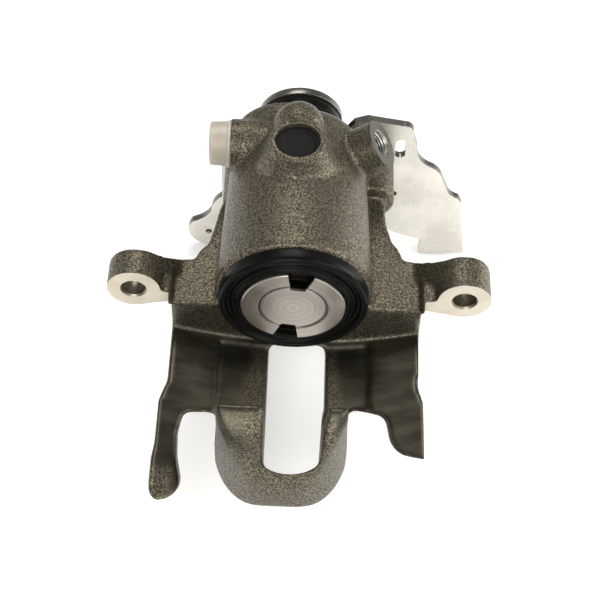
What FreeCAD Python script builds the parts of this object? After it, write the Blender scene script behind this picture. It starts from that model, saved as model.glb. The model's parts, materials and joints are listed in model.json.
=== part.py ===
import FreeCAD, Part

import math
import os
import re

import Sketcher

from FreeCAD import Placement, Rotation, Vector

# Floating rear disc brake caliper with a built-in handbrake mechanism, in millimetres.
# The origin is the middle of the piston's crown face with the piston fully home.
# +Y runs along the bore towards the back, +X to the right, +Z away from the bridge.

DIMENSIONS = {
    # hydraulic piston and the bore that it runs in
    "piston_radius": 19.0,
    "piston_length": 46.0,
    "piston_hollow": 13.5,
    "crown_thickness": 8.0,
    "crown_groove_inner": 11.7,
    "crown_groove_outer": 12.9,
    "crown_groove_depth": 0.45,
    "notch_root": 10.4,
    "notch_root_width": 5.2,
    "notch_mouth_width": 10.4,
    "notch_depth": 3.8,
    "notch_turn": 8.0,
    "boot_groove_start": 4.6,
    "boot_groove_width": 3.0,
    "boot_groove_radius": 17.6,
    "running_gap": 0.03,
    "parting_gap": 0.05,
    "bore_length": 50.0,
    "mouth_radius": 22.4,
    "mouth_depth": 9.0,
    "seal_groove_start": 12.0,
    "seal_groove_width": 3.0,
    "seal_groove_radius": 21.3,
    # outside of the barrel
    "barrel_front": 6.3,
    "barrel_front_radius": 28.5,
    "barrel_rear_radius": 25.8,
    "barrel_rear": 79.0,
    "barrel_rear_round": 9.0,
    "rear_pad_radius": 21.6,
    "rear_pad_x": -4.6,
    "rear_pad_z": 2.0,
    "spigot_radius": 25.1,
    "spigot_front": 3.4,
    "boot_radius": 27.3,
    "boot_front": 0.7,
    # handbrake mechanism behind the piston
    "nut_front": 8.1,
    "nut_flange_radius": 12.6,
    "nut_flange_end": 13.0,
    "nut_radius": 7.5,
    "nut_end": 40.0,
    "ring_groove_start": 18.25,
    "ring_groove_width": 1.6,
    "ring_groove_radius": 14.35,
    "spindle_radius": 4.4,
    "spindle_front": 11.0,
    "chamber_radius": 16.0,
    "chamber_end": 71.0,
    "cage_front": 47.0,
    "cage_radius": 13.5,
    "cage_wall": 1.0,
    "cage_flange_radius": 15.8,
    "circlip_groove_start": 52.4,
    "circlip_groove_width": 1.6,
    "circlip_groove_radius": 17.3,
    "ramp_plate_front": 58.0,
    "ramp_plate_radius": 15.6,
    "ramp_plate_end": 61.5,
    "ball_radius": 3.0,
    "ball_circle": 10.5,
    "ball_centre": 62.9,
    "ball_count": 3,
    "ball_track_angle": 66.0,
    "key_pin_radius": 1.5,
    "key_pin_circle": 15.6,
    "key_pin_start": 55.3,
    "key_pin_end": 63.3,
    "shaft_flange_front": 64.3,
    "shaft_flange_radius": 13.0,
    "shaft_flange_end": 68.0,
    "shaft_radius": 7.0,
    "shaft_hole_radius": 9.0,
    "shaft_thread_radius": 5.0,
    "shaft_seat_radius": 6.0,
    "shaft_seat_flats": 9.0,
    "shaft_end": 99.4,
    "ramp_spring_radius": 10.5,
    "ramp_spring_wire": 1.0,
    "ramp_spring_turns": 2.5,
    # lever, its fastening and its return spring
    "lever_front": 90.0,
    "lever_thickness": 3.0,
    "lever_hub_radius": 16.6,
    "lever_tip_radius": 8.0,
    "lever_tip_x": -4.0,
    "lever_tip_z": -49.0,
    "lever_pin_hole": 3.2,
    "spring_hole_radius": 1.3,
    "lever_spring_x": -8.5,
    "lever_spring_z": -37.0,
    "bracket_spring_x": -36.5,
    "bracket_spring_z": -57.0,
    "return_spring_y": 86.0,
    "return_spring_radius": 3.0,
    "return_spring_wire": 0.8,
    "return_spring_turns": 9.5,
    "return_spring_hook": 7.0,
    # cable bracket and its two bolts
    "bracket_front": 79.0,
    "bracket_thickness": 3.0,
    "left_bolt_x": -20.5,
    "left_bolt_z": -14.0,
    "right_bolt_x": 29.0,
    "right_bolt_z": -9.5,
    "bolt_boss_radius": 8.5,
    "bracket_bolt_radius": 4.0,
    "bracket_bolt_length": 16.0,
    "bracket_hub_gap": 17.6,
    "cable_fork_y": 89.0,
    "cable_fork_z": -57.5,
    "cable_fork_radius": 4.0,
    # guide pin ears
    "ear_spacing": 120.0,
    "ear_offset": 2.0,
    "ear_front": 5.8,
    "left_ear_length": 11.5,
    "right_ear_length": 13.7,
    "ear_radius": 9.7,
    "ear_hole_radius": 4.2,
    # shelf beside the barrel, and the bridge across the edge of the disc
    "shelf_front": 5.0,
    "shelf_top": -6.0,
    "bridge_axis_z": 110.0,
    "bridge_inner_radius": 137.5,
    "bridge_outer_radius": 151.0,
    "channel_depth": 1.2,
    "wing_left": -44.8,
    "wing_right": 47.3,
    "wing_reference_z": -22.0,
    "wing_undercut": 0.73,
    "wing_outer_radius": 146.5,
    "window_left": -8.5,
    "window_right": 12.8,
    "window_rear": -1.2,
    "window_front": -53.4,
    "window_undercut": 0.5,
    # claw on the far side of the disc
    "claw_centre_x": -2.5,
    "claw_centre_y": -38.0,
    "claw_radius": 23.8,
    "finger_face": -42.0,
    "finger_top": 2.5,
    "claw_bottom": -41.0,
    # ports and the boss on top of the barrel
    "top_boss_x": -0.6,
    "top_boss_y": 50.4,
    "top_boss_top": 34.0,
    "top_boss_radius": 10.5,
    "top_plug_radius": 8.15,
    "top_plug_recess": 2.2,
    "top_plug_depth": 7.0,
    "port_thread_radius": 5.0,
    "port_thread_depth": 11.0,
    "port_passage_radius": 1.6,
    "port_boss_radius": 9.2,
    "right_port_x": 31.0,
    "right_port_y": 64.4,
    "right_port_z": 18.0,
    "left_port_x": -25.5,
    "left_port_y": 65.0,
    "left_port_z": 14.0,
    "left_boss_radius": 9.5,
    "port_plug_radius": 8.5,
    "port_plug_height": 8.2,
}

RIGHT_PORT_AXIS = Vector(0.83, 0.02, 0.56).normalize()
LEFT_PORT_AXIS = Vector(-1, 0, 0)
TURN_Z_TO_Y = Rotation(Vector(1, 0, 0), -90)
TURN_Y_TO_Z = Rotation(Vector(1, 0, 0), 90)
TURN_Y_TO_MINUS_X = Rotation(Vector(0, 0, 1), 90)
ALONG_BORE = Vector(0, 1, 0)
FULL_TURN = 360.0
THROUGH = 200.0

doc = FreeCAD.newDocument("brake_caliper")
sheet = doc.addObject("Spreadsheet::Sheet", "dims")
for row, (alias, number) in enumerate(DIMENSIONS.items(), start=1):
    sheet.set(f"A{row}", alias)
    sheet.set(f"B{row}", str(number))
    sheet.setAlias(f"B{row}", alias)
doc.recompute()


# ---------------------------------------------------------------- sizes and outlines

def bound(formula):
    """The formula with each sheet alias written as a reference to the sheet."""
    return re.sub(r"[a-z_]+", lambda word: "dims." + word[0] if word[0] in DIMENSIONS else word[0],
                  str(formula))


def size(formula):
    """The number that a formula of sheet aliases gives."""
    return float(sheet.evalExpression(bound(formula)))


def curve(start, end, radius):
    """A line, or an arc that turns left (radius above 0) or right (radius below 0)."""
    if not radius:
        return Part.LineSegment(start, end)
    chord = end - start
    rise = math.sqrt(max(radius ** 2 - (chord.Length / 2) ** 2, 0.0))
    left = Vector(-chord.y, chord.x, 0).normalize()
    centre = (start + end) / 2 + left * math.copysign(rise, radius)
    circle = Part.Circle(centre, Vector(0, 0, 1), abs(radius))
    first, last = (start, end) if radius > 0 else (end, start)
    angles = [math.atan2(point.y - centre.y, point.x - centre.x) for point in (first, last)]
    return Part.ArcOfCircle(circle, *angles)


def corners(outline):
    """Each corner as a point in the plane, with the radius of the stretch that follows it."""
    points = [Vector(size(corner[0]), size(corner[1]), 0) for corner in outline]
    radii = [size(corner[2]) if len(corner) > 2 else 0.0 for corner in outline]
    return points, radii


def prism(outline, plane, low, high):
    """A closed outline in a plane of the frame, carried from low to high across that plane."""
    points, radii = corners(outline)
    following = points[1:] + points[:1]
    edges = [curve(*stretch).toShape() for stretch in zip(points, following, radii)]
    face = Part.Face(Part.Wire(edges))
    low, high = size(low), size(high)
    if plane == "XY":
        turn, normal = Rotation(), Vector(0, 0, 1)
    elif plane == "XZ":
        turn, normal = Rotation(Vector(1, 0, 0), 90), Vector(0, 1, 0)
    else:
        turn = Rotation(Vector(0, 1, 0), Vector(0, 0, 1), Vector(1, 0, 0), "XYZ")
        normal = Vector(1, 0, 0)
    face.Placement = Placement(normal * low, turn)
    return face.extrude(normal * (high - low))


def rod(radius, start, end):
    """A round bar between two points."""
    return Part.makeCylinder(size(radius), (end - start).Length, start, end - start)


# ---------------------------------------------------------------- features of a body

def new_body(label):
    body = doc.addObject("PartDesign::Body", label)
    body.Label = label
    return body


def sketch_on(body, name, role, offset=0, turn=None):
    """A sketch on one of the body's own origin planes, lifted by offset along its normal."""
    plane = next(item for item in body.Origin.OriginFeatures if item.Role == role)
    sketch = body.newObject("Sketcher::SketchObject", name)
    sketch.AttachmentSupport = (plane, [""])
    sketch.MapMode = "FlatFace"
    if turn:
        sketch.AttachmentOffset = Placement(Vector(), turn)
    sketch.setExpression("AttachmentOffset.Base.z", bound(offset))
    return sketch


def draw(sketch, outline):
    """Draw a closed outline whose corners and radii are bound to the sheet."""
    points, radii = corners(outline)
    following = points[1:] + points[:1]
    first = sketch.GeometryCount
    count = len(points)
    for stretch in zip(points, following, radii):
        sketch.addGeometry(curve(*stretch))
    start_of = [2 if radius < 0 else 1 for radius in radii]
    for index in range(count):
        other = (index + 1) % count
        joined = (first + index, 3 - start_of[index], first + other, start_of[other])
        sketch.addConstraint(Sketcher.Constraint("Coincident", *joined))
    for index, corner in enumerate(outline):
        place = (-1, 1, first + index, start_of[index])
        pin(sketch, Sketcher.Constraint("DistanceX", *place, points[index].x), corner[0])
        pin(sketch, Sketcher.Constraint("DistanceY", *place, points[index].y), corner[1])
        if radii[index]:
            radius = Sketcher.Constraint("Radius", first + index, abs(radii[index]))
            pin(sketch, radius, f"abs({corner[2]})")


def pin(sketch, constraint, formula):
    """Add a dimension to a sketch and bind it to the sheet."""
    index = sketch.addConstraint(constraint)
    sketch.setExpression(f"Constraints[{index}]", bound(formula))


def draw_circle(sketch, centre, radius):
    """Draw a circle whose place and radius are bound to the sheet."""
    middle = Vector(size(centre[0]), size(centre[1]), 0)
    index = sketch.addGeometry(Part.Circle(middle, Vector(0, 0, 1), size(radius)))
    pin(sketch, Sketcher.Constraint("DistanceX", -1, 1, index, 3, middle.x), centre[0])
    pin(sketch, Sketcher.Constraint("DistanceY", -1, 1, index, 3, middle.y), centre[1])
    pin(sketch, Sketcher.Constraint("Radius", index, size(radius)), radius)


def extrude(body, kind, sketch, length, reverse=False, both_ways=False):
    """Pad or pocket a sketch, and make sure that the solid really changed."""
    before = 0.0 if body.Tip is None else body.Shape.Volume
    feature = body.newObject("PartDesign::" + kind, sketch.Name + "_" + kind.lower())
    feature.Profile = sketch
    feature.setExpression("Length", bound(length))
    feature.Reversed = reverse
    if both_ways:
        feature.SideType = "Symmetric"
    doc.recompute()
    if abs(body.Shape.Volume - before) < 1e-6:
        raise RuntimeError(f"{feature.Name} changed nothing")
    return feature


def plate(label, outline, start, thickness):
    """A flat piece drawn in the XZ plane, from start towards the back."""
    body = new_body(label)
    sketch = sketch_on(body, label + "_outline", "XZ_Plane", f"-({start})")
    draw(sketch, outline)
    extrude(body, "Pad", sketch, thickness, reverse=True)
    return body


def drill(body, name, centre, radius, start, depth):
    """A round hole that starts at a place along the bore's axis and runs towards the back."""
    sketch = sketch_on(body, name, "XZ_Plane", f"-({start})")
    draw_circle(sketch, centre, radius)
    extrude(body, "Pocket", sketch, depth)


def turned(label, outline, angle=FULL_TURN):
    """A turned piece about +Y; each outline corner is (radius, place along the axis)."""
    body = new_body(label)
    sketch = sketch_on(body, label + "_profile", "XY_Plane")
    draw(sketch, outline)
    feature = body.newObject("PartDesign::Revolution", label + "_turning")
    feature.Profile = sketch
    feature.ReferenceAxis = (sketch, ["V_Axis"])
    feature.Angle = angle
    feature.Midplane = angle < FULL_TURN
    doc.recompute()
    return body


def collar(label, inner, outer, start, end, angle=FULL_TURN):
    """A plain ring about the bore's axis."""
    outline = [(inner, start), (outer, start), (outer, end), (inner, end)]
    return turned(label, outline, angle)


def ball_tracks(body, label):
    """Three arc-shaped tracks that the balls of the ramp mechanism roll in."""
    sketch = sketch_on(body, label + "_track", "XY_Plane")
    draw_circle(sketch, ("ball_circle", "ball_centre"), "ball_radius + parting_gap")
    track = body.newObject("PartDesign::Groove", label + "_groove")
    track.Profile = sketch
    track.ReferenceAxis = (sketch, ["V_Axis"])
    track.setExpression("Angle", bound("ball_track_angle"))
    track.Midplane = True
    doc.recompute()
    pattern = body.newObject("PartDesign::PolarPattern", label + "_tracks")
    pattern.Originals = [track]
    pattern.Axis = (sketch, ["V_Axis"])
    pattern.Angle = FULL_TURN
    pattern.setExpression("Occurrences", bound("ball_count"))
    body.Tip = pattern
    doc.recompute()


# ---------------------------------------------------------------- plain solids and booleans

def cylinder(name, radius, height, base, turn):
    """A Part cylinder with its sizes and its base point bound to the sheet."""
    item = doc.addObject("Part::Cylinder", name)
    item.setExpression("Radius", bound(radius))
    item.setExpression("Height", bound(height))
    item.Placement = Placement(Vector(), turn)
    place(item, base)
    return item


def place(item, base):
    """Bind an object's position to three formulas."""
    for axis, formula in zip("xyz", base):
        item.setExpression(f"Placement.Base.{axis}", bound(formula))


def joined(name, pieces):
    """Several solids fused into one object."""
    fusion = doc.addObject("Part::MultiFuse", name)
    fusion.Shapes = pieces
    fusion.Label = name
    return fusion


def grouped(label, pieces):
    """Separate, identical solids kept together as one sub-part."""
    group = doc.addObject("Part::Compound", label)
    group.Links = pieces
    group.Label = label
    return group


def coil(name, radius, wire, pitch, turns):
    """A coil of round wire about the local Z axis, starting at (radius, 0, 0)."""
    spine = doc.addObject("Part::Helix", name + "_spine")
    spine.setExpression("Radius", bound(radius))
    spine.setExpression("Pitch", bound(pitch))
    spine.setExpression("Height", bound(f"({pitch}) * ({turns})"))
    section = doc.addObject("Part::Circle", name + "_section")
    section.setExpression("Radius", bound(wire))
    section.Placement = Placement(Vector(), Rotation(Vector(1, 0, 0), 90))
    place(section, (radius, 0, 0))
    doc.recompute()
    sweep = doc.addObject("Part::Sweep", name)
    sweep.Sections = [section]
    sweep.Spine = (spine, ["Edge1"])
    sweep.Solid = True
    sweep.Frenet = True
    sweep.Label = name
    return sweep


# ---------------------------------------------------------------- the housing's casting

def barrel():
    """The cylinder that holds the piston, with its rounded back and the dust boot's spigot."""
    front, rear = size("barrel_front"), size("barrel_rear")
    front_radius, rear_radius = size("barrel_front_radius"), size("barrel_rear_radius")
    spigot, rounding = size("spigot_radius"), size("barrel_rear_round")
    outline = [
        (0, "spigot_front"),
        (spigot, "spigot_front"),
        (spigot, front),
        (front_radius - 1, front),
        (front_radius, front + 1),
        (rear_radius, rear - rounding, rounding),
        (rear_radius - rounding, rear),
        (0, rear),
    ]
    half = prism(outline, "XY", 0, 1).Faces
    profile = next(face for face in half if abs(face.CenterOfMass.z) < 1e-6 and face.Surface.isPlanar())
    return profile.revolve(Vector(), ALONG_BORE, FULL_TURN)


def rear_pad():
    """The off-centre round pad at the back of the barrel, with its rear edge broken."""
    middle = Vector(size("rear_pad_x"), 0, size("rear_pad_z"))
    rear, edge = size("barrel_rear"), 1.6
    straight = rod("rear_pad_radius", middle + Vector(0, 62, 0), middle + Vector(0, rear - edge, 0))
    radius = size("rear_pad_radius")
    rim = Part.makeCone(radius, radius - edge, edge, middle + Vector(0, rear - edge, 0), ALONG_BORE)
    return straight.fuse(rim)


def shelf():
    """The shoulders beside the barrel, tapering into it towards the back."""
    front, left, right = size("shelf_front"), size("wing_left"), size("wing_right")
    plan = [
        (left, front),
        (left, 24),
        (left + 3.5, 25.4),
        (-37.2, 25.6, -11),
        (-32.8, 33),
        (-31, 41),
        (-29.5, 50),
        (-27, 58),
        (-20, 64),
        (24, 64),
        (33.5, 60),
        (34.2, 46),
        (36.5, 37, -16),
        (40.5, 28.6),
        (right - 3, 28.2),
        (right, front + 21),
        (right, front),
    ]
    side = [
        (front, "shelf_top"),
        (front + 57, "shelf_top"),
        (front + 57, -18),
        (front + 36, -30, -60),
        (front + 4, -42),
        (front, -42),
    ]
    boot_room = rod("boot_radius + 0.3", Vector(), Vector(0, size("barrel_front"), 0))
    return prism(plan, "XY", -60, "shelf_top").common(prism(side, "YZ", -60, 60)).cut(boot_room)


def undercut_prism(outline, low, high, slope):
    """A plan outline whose front edges slope back underneath; it is true at the wings' height."""
    points, radii = corners(outline)
    following = points[1:] + points[:1]
    edges = [curve(*stretch).toShape() for stretch in zip(points, following, radii)]
    face = Part.Face(Part.Wire(edges))
    level = size("wing_reference_z")
    face.translate(Vector(0, slope * (level - low), low))
    return face.extrude(Vector(0, -slope * (high - low), high - low))


def bridge():
    """The curved plate over the edge of the disc, with a leg at each side."""
    left, right = size("wing_left"), size("wing_right")
    claw_left = size("claw_centre_x - claw_radius")
    claw_right = size("claw_centre_x + claw_radius")
    plan = [
        (left, 14),
        (left, -19),
        (left - 2.4, -27),
        (left - 2.4, -45),
        (left - 3.2, -52),
        (left - 3.2, -61, 9),
        (left - 0.5, -68, 7),
        (left + 7.5, -61),
        (left + 5.6, -52),
        (left + 5.0, -42),
        (left + 6.2, -34.5, -4),
        (left + 9, -32.2),
        (claw_left - 2.6, -32.2, -2.6),
        (claw_left, -34.5),
        (claw_left, -37),
        (claw_right, -37),
        (claw_right, -32.5, -3),
        (claw_right + 3, -29.4),
        (28.5, -30),
        (32.8, -30.8, -6),
        (35.6, -35),
        (36.4, -40.5, 8),
        (41.5, -46.9),
        (right + 1, -47.8),
        (right + 1, -24),
        (right - 0.6, -18.5),
        (right, 14),
    ]
    axis_point = Vector(0, -100, size("bridge_axis_z"))
    inner = Part.makeCylinder(size("bridge_inner_radius"), THROUGH, axis_point, ALONG_BORE)
    outer = Part.makeCylinder(size("bridge_outer_radius"), THROUGH, axis_point, ALONG_BORE)
    thin = Part.makeCylinder(size("wing_outer_radius"), THROUGH, axis_point, ALONG_BORE)
    middle = Part.makeBox(claw_right - claw_left, 60, 60, Vector(claw_left, -44, -60)).common(outer)
    wings = undercut_prism(plan, -60, 10, size("wing_undercut")).common(thin)
    return wings.fuse(middle).cut(inner), outer


def channel():
    """The slightly deeper ground between the two wings, on both sides of the window."""
    axis_point = Vector(0, -100, size("bridge_axis_z"))
    radius = size("bridge_inner_radius + channel_depth")
    swept = Part.makeCylinder(radius, THROUGH, axis_point, ALONG_BORE)
    left, right = -27.0, 29.0
    return Part.makeBox(right - left, 34, 60, Vector(left, -32, -50)).common(swept)


def claw():
    """The two fingers that press on the far brake pad, and the web that joins them."""
    face, top = size("finger_face"), size("finger_top")
    centre_x, centre_y = size("claw_centre_x"), size("claw_centre_y")
    radius, bottom = size("claw_radius"), size("claw_bottom")
    side = [
        (face, bottom - 1),
        (face, top - 1.5, 1.2),
        (face - 1.5, top, 32),
        (face - 12.5, top - 9.5, 55),
        (face - 18.8, bottom + 6.5, 7),
        (face - 14, bottom - 1),
    ]
    outline = [
        (centre_x - radius, centre_y + 6),
        (centre_x - radius, centre_y, radius),
        (centre_x, centre_y - radius, radius),
        (centre_x + radius, centre_y),
        (centre_x + radius, centre_y + 6),
    ]
    return prism(side, "YZ", -60, 60).common(prism(outline, "XY", -60, 10))


def window():
    """The opening through the bridge; its leaning front edge runs on as the gap between the fingers."""
    left, right = size("window_left"), size("window_right")
    front, rear = size("window_front"), size("window_rear")
    meeting = (front + rear) / 2
    back = [(left + 3, rear, 3.5), (left, rear - 4), (left, meeting - 5), (right, meeting - 5),
            (right, rear - 4, 3.5), (right - 3, rear)]
    fore = [(left, meeting + 12), (left, front, 16), (right - 1.5, front + 1.4), (right, meeting + 12)]
    steep = undercut_prism(fore, -60, 10, size("window_undercut"))
    return undercut_prism(back, -60, 10, size("wing_undercut")).fuse(steep)


def upright(x, front, rear, low, top):
    """A rectangle that stands across the X axis, as a closed wire."""
    return Part.makePolygon([Vector(x, front, low), Vector(x, rear, low), Vector(x, rear, top),
                             Vector(x, front, top), Vector(x, front, low)])


def ear(side):
    """One guide pin ear: its boss, the bar set back from the face and the rib level with it."""
    hole = size("ear_offset") + side * size("ear_spacing") / 2
    root = (size("wing_right") if side > 0 else size("wing_left")) - side * 3
    front, radius = size("ear_front"), size("ear_radius")
    length = size("right_ear_length" if side > 0 else "left_ear_length")
    bar_front, bar_rear, swept_back = front + 5.7, front + length + 1.7, 6.7
    boss = rod(radius, Vector(hole, front, 0), Vector(hole, front + length, 0))
    bar = Part.makeLoft([
        upright(hole, bar_front, front + length, -3, 9.2),
        upright(hole - side * 5, bar_front, bar_rear - 1.2, -4, 7.4),
        upright(hole - side * 9.5, bar_front + 0.4, bar_rear, -6, 4.0),
        upright(root, bar_front + swept_back, bar_rear + swept_back, -16, -6),
    ], True, True)
    shelf_side = root + side * 2.5
    rib = prism([(hole, -radius), (root + side * 3, -6.5), (shelf_side, -6.5), (shelf_side, -1.5), (hole, 0)],
                "XZ", front, front + 10)
    return [boss, bar, rib]


def top_boss():
    """The round boss on top of the barrel, and the thumb-shaped lump behind it."""
    centre = Vector(size("top_boss_x"), size("top_boss_y"), 0)
    boss = rod("top_boss_radius", centre + Vector(0, 0, 10), centre + Vector(0, 0, size("top_boss_top")))
    flare = Part.makeCone(15.5, size("top_boss_radius"), 10, centre + Vector(0, 0, 22), Vector(0, 0, 1))
    lump_radius = 9.6
    lump_start = Vector(-0.4, centre.y, 20.8)
    lump_end = Vector(-0.4, 63.5, 26.5)
    lump = rod(lump_radius, lump_start, lump_end)
    tip = Part.makeSphere(lump_radius, lump_end)
    pedestal = Part.makeBox(16, 66 - centre.y, 14, Vector(-8.4, centre.y, 10))
    return [boss, flare, lump, tip, pedestal]


def port_bosses():
    """The bosses around the two ports at the back of the barrel."""
    right_face = Vector(size("right_port_x"), size("right_port_y"), size("right_port_z"))
    left_face = Vector(size("left_port_x"), size("left_port_y"), size("left_port_z"))
    right = rod("port_boss_radius", right_face - RIGHT_PORT_AXIS * 22, right_face)
    left = rod("left_boss_radius", left_face - LEFT_PORT_AXIS * 12, left_face)
    return [right, left]


def bracket_bosses():
    """The two columns at the back that the cable bracket is bolted to."""
    bosses = []
    for name in ("left", "right"):
        axis = Vector(size(name + "_bolt_x"), 0, size(name + "_bolt_z"))
        bosses.append(rod("bolt_boss_radius", axis + Vector(0, 58, 0), axis + Vector(0, size("barrel_rear"), 0)))
    return bosses


def casting():
    """The whole unmachined housing."""
    curved, outer = bridge()
    body = barrel()
    others = [rear_pad(), shelf().common(outer), curved, claw(), *top_boss(), *port_bosses(), *bracket_bosses()]
    for side in (-1, 1):
        others.extend(ear(side))
    solid = body.fuse(others)
    solid = solid.cut(channel()).cut(window()).removeSplitter()
    return solid.Solids[0] if len(solid.Solids) == 1 else solid


# ---------------------------------------------------------------- machining of the housing

def bore_cutter():
    """Everything that is bored from the front: mouth, seal groove, bore, chamber, shaft hole."""
    wall = "piston_radius + running_gap"
    seal_end = "seal_groove_start + seal_groove_width"
    clip_end = "circlip_groove_start + circlip_groove_width"
    outline = [
        (0, -5),
        ("mouth_radius", -5),
        ("mouth_radius", "mouth_depth"),
        (wall, "mouth_depth"),
        (wall, "seal_groove_start"),
        ("seal_groove_radius", "seal_groove_start"),
        ("seal_groove_radius", seal_end),
        (wall, seal_end),
        (wall, "bore_length"),
        ("chamber_radius", "bore_length"),
        ("chamber_radius", "circlip_groove_start"),
        ("circlip_groove_radius", "circlip_groove_start"),
        ("circlip_groove_radius", clip_end),
        ("chamber_radius", clip_end),
        ("chamber_radius", "chamber_end"),
        ("shaft_hole_radius", "chamber_end"),
        ("shaft_hole_radius", "barrel_rear + 5"),
        (0, "barrel_rear + 5"),
    ]
    return turned("bore_cutter", outline)


def port_cutters(name, face, axis):
    """A threaded port and the narrow passage from it to the chamber."""
    turn = Rotation(Vector(0, 0, 1), axis * -1)
    thread = cylinder(name + "_thread", "port_thread_radius", "port_thread_depth + 1", face, turn)
    passage = cylinder(name + "_passage", "port_passage_radius", 26, face, turn)
    for axis_name, formula, part_of_axis in zip("xyz", face, axis):
        shifted = f"{formula} + {part_of_axis:.6f}"
        thread.setExpression(f"Placement.Base.{axis_name}", bound(shifted))
    return [thread, passage]


def housing():
    """The casting with every hole cut into it."""
    blank = doc.addObject("Part::Feature", "casting")
    blank.Shape = casting()
    cutters = [bore_cutter()]
    for side, name in ((-1, "left_ear_hole"), (1, "right_ear_hole")):
        base = (f"ear_offset + {side} * ear_spacing / 2", "ear_front - 5", 0)
        cutters.append(cylinder(name, "ear_hole_radius", "right_ear_length + 20", base, TURN_Z_TO_Y))
    for name in ("left", "right"):
        base = (name + "_bolt_x", "barrel_rear - bracket_bolt_length", name + "_bolt_z")
        radius = "bracket_bolt_radius + running_gap"
        cutters.append(cylinder(name + "_bolt_hole", radius, "bracket_bolt_length + 5", base, TURN_Z_TO_Y))
    for side, name in ((-1, "left_key_hole"), (1, "right_key_hole")):
        base = (f"{side} * key_pin_circle", "key_pin_start - 0.2", 0)
        height = "key_pin_end - key_pin_start + 0.4"
        cutters.append(cylinder(name, "key_pin_radius + running_gap", height, base, TURN_Z_TO_Y))
    plug_base = ("top_boss_x", "top_boss_y", "top_boss_top - top_plug_depth")
    cutters.append(cylinder("top_plug_hole", "top_plug_radius + running_gap", "top_plug_depth + 5",
                            plug_base, Rotation()))
    cutters += port_cutters("right_port", ("right_port_x", "right_port_y", "right_port_z"), RIGHT_PORT_AXIS)
    cutters += port_cutters("left_port", ("left_port_x", "left_port_y", "left_port_z"), LEFT_PORT_AXIS)
    spot_face = cylinder("left_port_spot_face", "left_boss_radius + 1", 5,
                         ("left_port_x", "left_port_y", "left_port_z"), Rotation(Vector(0, 0, 1), LEFT_PORT_AXIS))
    cutters.append(spot_face)
    machined = doc.addObject("Part::Cut", "caliper_housing")
    machined.Base = blank
    machined.Tool = joined("housing_cutters", cutters)
    machined.Label = "caliper_housing"
    return machined


# ---------------------------------------------------------------- piston and its seals

def piston():
    groove_end = "boot_groove_start + boot_groove_width"
    ring_end = "ring_groove_start + ring_groove_width"
    outline = [
        (0, 0),
        ("crown_groove_inner", 0),
        ("crown_groove_inner + 0.3", "crown_groove_depth"),
        ("crown_groove_outer - 0.3", "crown_groove_depth"),
        ("crown_groove_outer", 0),
        ("piston_radius - 0.6", 0),
        ("piston_radius", 0.6),
        ("piston_radius", "boot_groove_start"),
        ("boot_groove_radius", "boot_groove_start"),
        ("boot_groove_radius", groove_end),
        ("piston_radius", groove_end),
        ("piston_radius", "piston_length - 1"),
        ("piston_radius - 1", "piston_length"),
        ("piston_hollow", "piston_length"),
        ("piston_hollow", ring_end),
        ("ring_groove_radius", ring_end),
        ("ring_groove_radius", "ring_groove_start"),
        ("piston_hollow", "ring_groove_start"),
        ("piston_hollow", "crown_thickness + 2.5"),
        ("piston_hollow - 1.5", "crown_thickness"),
        (0, "crown_thickness"),
    ]
    body = turned("piston", outline)
    turn = Rotation(Vector(0, 0, 1), -size("notch_turn"))
    sketch = sketch_on(body, "piston_notches", "XZ_Plane", turn=turn)
    for side in (-1, 1):
        mouth = f"{side} * (piston_radius + 1)"
        root = f"{side} * notch_root"
        draw(sketch, [
            ("-notch_root_width / 2", root),
            ("notch_root_width / 2", root),
            ("notch_mouth_width / 2", mouth),
            ("-notch_mouth_width / 2", mouth),
        ])
    extrude(body, "Pocket", sketch, "notch_depth")


def piston_seal():
    gap = "parting_gap"
    start = f"seal_groove_start + {gap}"
    end = f"seal_groove_start + seal_groove_width - {gap}"
    collar("piston_seal", f"piston_radius + {gap}", f"seal_groove_radius - {gap}", start, end)


def dust_boot():
    """The rubber boot over the mouth of the bore, folded flat."""
    turned("dust_boot", [
        ("spigot_radius + 0.9", "barrel_front - parting_gap"),
        ("boot_radius", "barrel_front - parting_gap"),
        ("boot_radius", "boot_front + 0.5"),
        ("boot_radius - 0.5", "boot_front"),
        ("boot_radius - 2.1", "boot_front"),
        ("boot_radius - 2.7", "boot_front + 1.3"),
        ("piston_radius + 2.6", "boot_front + 1.3"),
        ("piston_radius + 2", "boot_front + 0.2"),
        ("piston_radius + 0.1", "boot_front + 0.2"),
        ("piston_radius + 0.1", "boot_groove_start + 2.8"),
        ("piston_radius + 1.6", "boot_groove_start + 2.8"),
        ("piston_radius + 1.6", "spigot_front - 0.1"),
        ("spigot_radius + 0.9", "spigot_front - 0.1"),
    ])


def boot_ring():
    """The steel ring that holds the dust boot on its spigot."""
    collar("boot_ring", "spigot_radius + parting_gap", "spigot_radius + 0.85",
           "spigot_front + 0.2", "barrel_front - 0.1")


# ---------------------------------------------------------------- adjuster inside the piston

def adjuster_nut():
    inner = "spindle_radius + parting_gap"
    turned("adjuster_nut", [
        (inner, "nut_front"),
        ("nut_flange_radius - 1.6", "nut_front"),
        ("nut_flange_radius", "nut_front + 2.5"),
        ("nut_flange_radius", "nut_flange_end"),
        ("nut_radius", "nut_flange_end"),
        ("nut_radius", "nut_end"),
        (inner, "nut_end"),
    ])


def nut_thrust_bearing():
    collar("nut_thrust_bearing", "nut_radius + 0.1", "nut_flange_radius",
           "nut_flange_end + parting_gap", "nut_flange_end + 2.95")


def nut_spring_washer():
    """A coned spring washer between the thrust bearing and the retaining ring."""
    inner, outer = "nut_radius + 0.3", "nut_flange_radius + 0.2"
    start, cone, thickness = "nut_flange_end + 3.05", 0.8, 1.1
    turned("nut_spring_washer", [
        (inner, start),
        (outer, f"{start} + {cone}"),
        (outer, f"{start} + {cone + thickness}"),
        (inner, f"{start} + {thickness}"),
    ])


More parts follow.
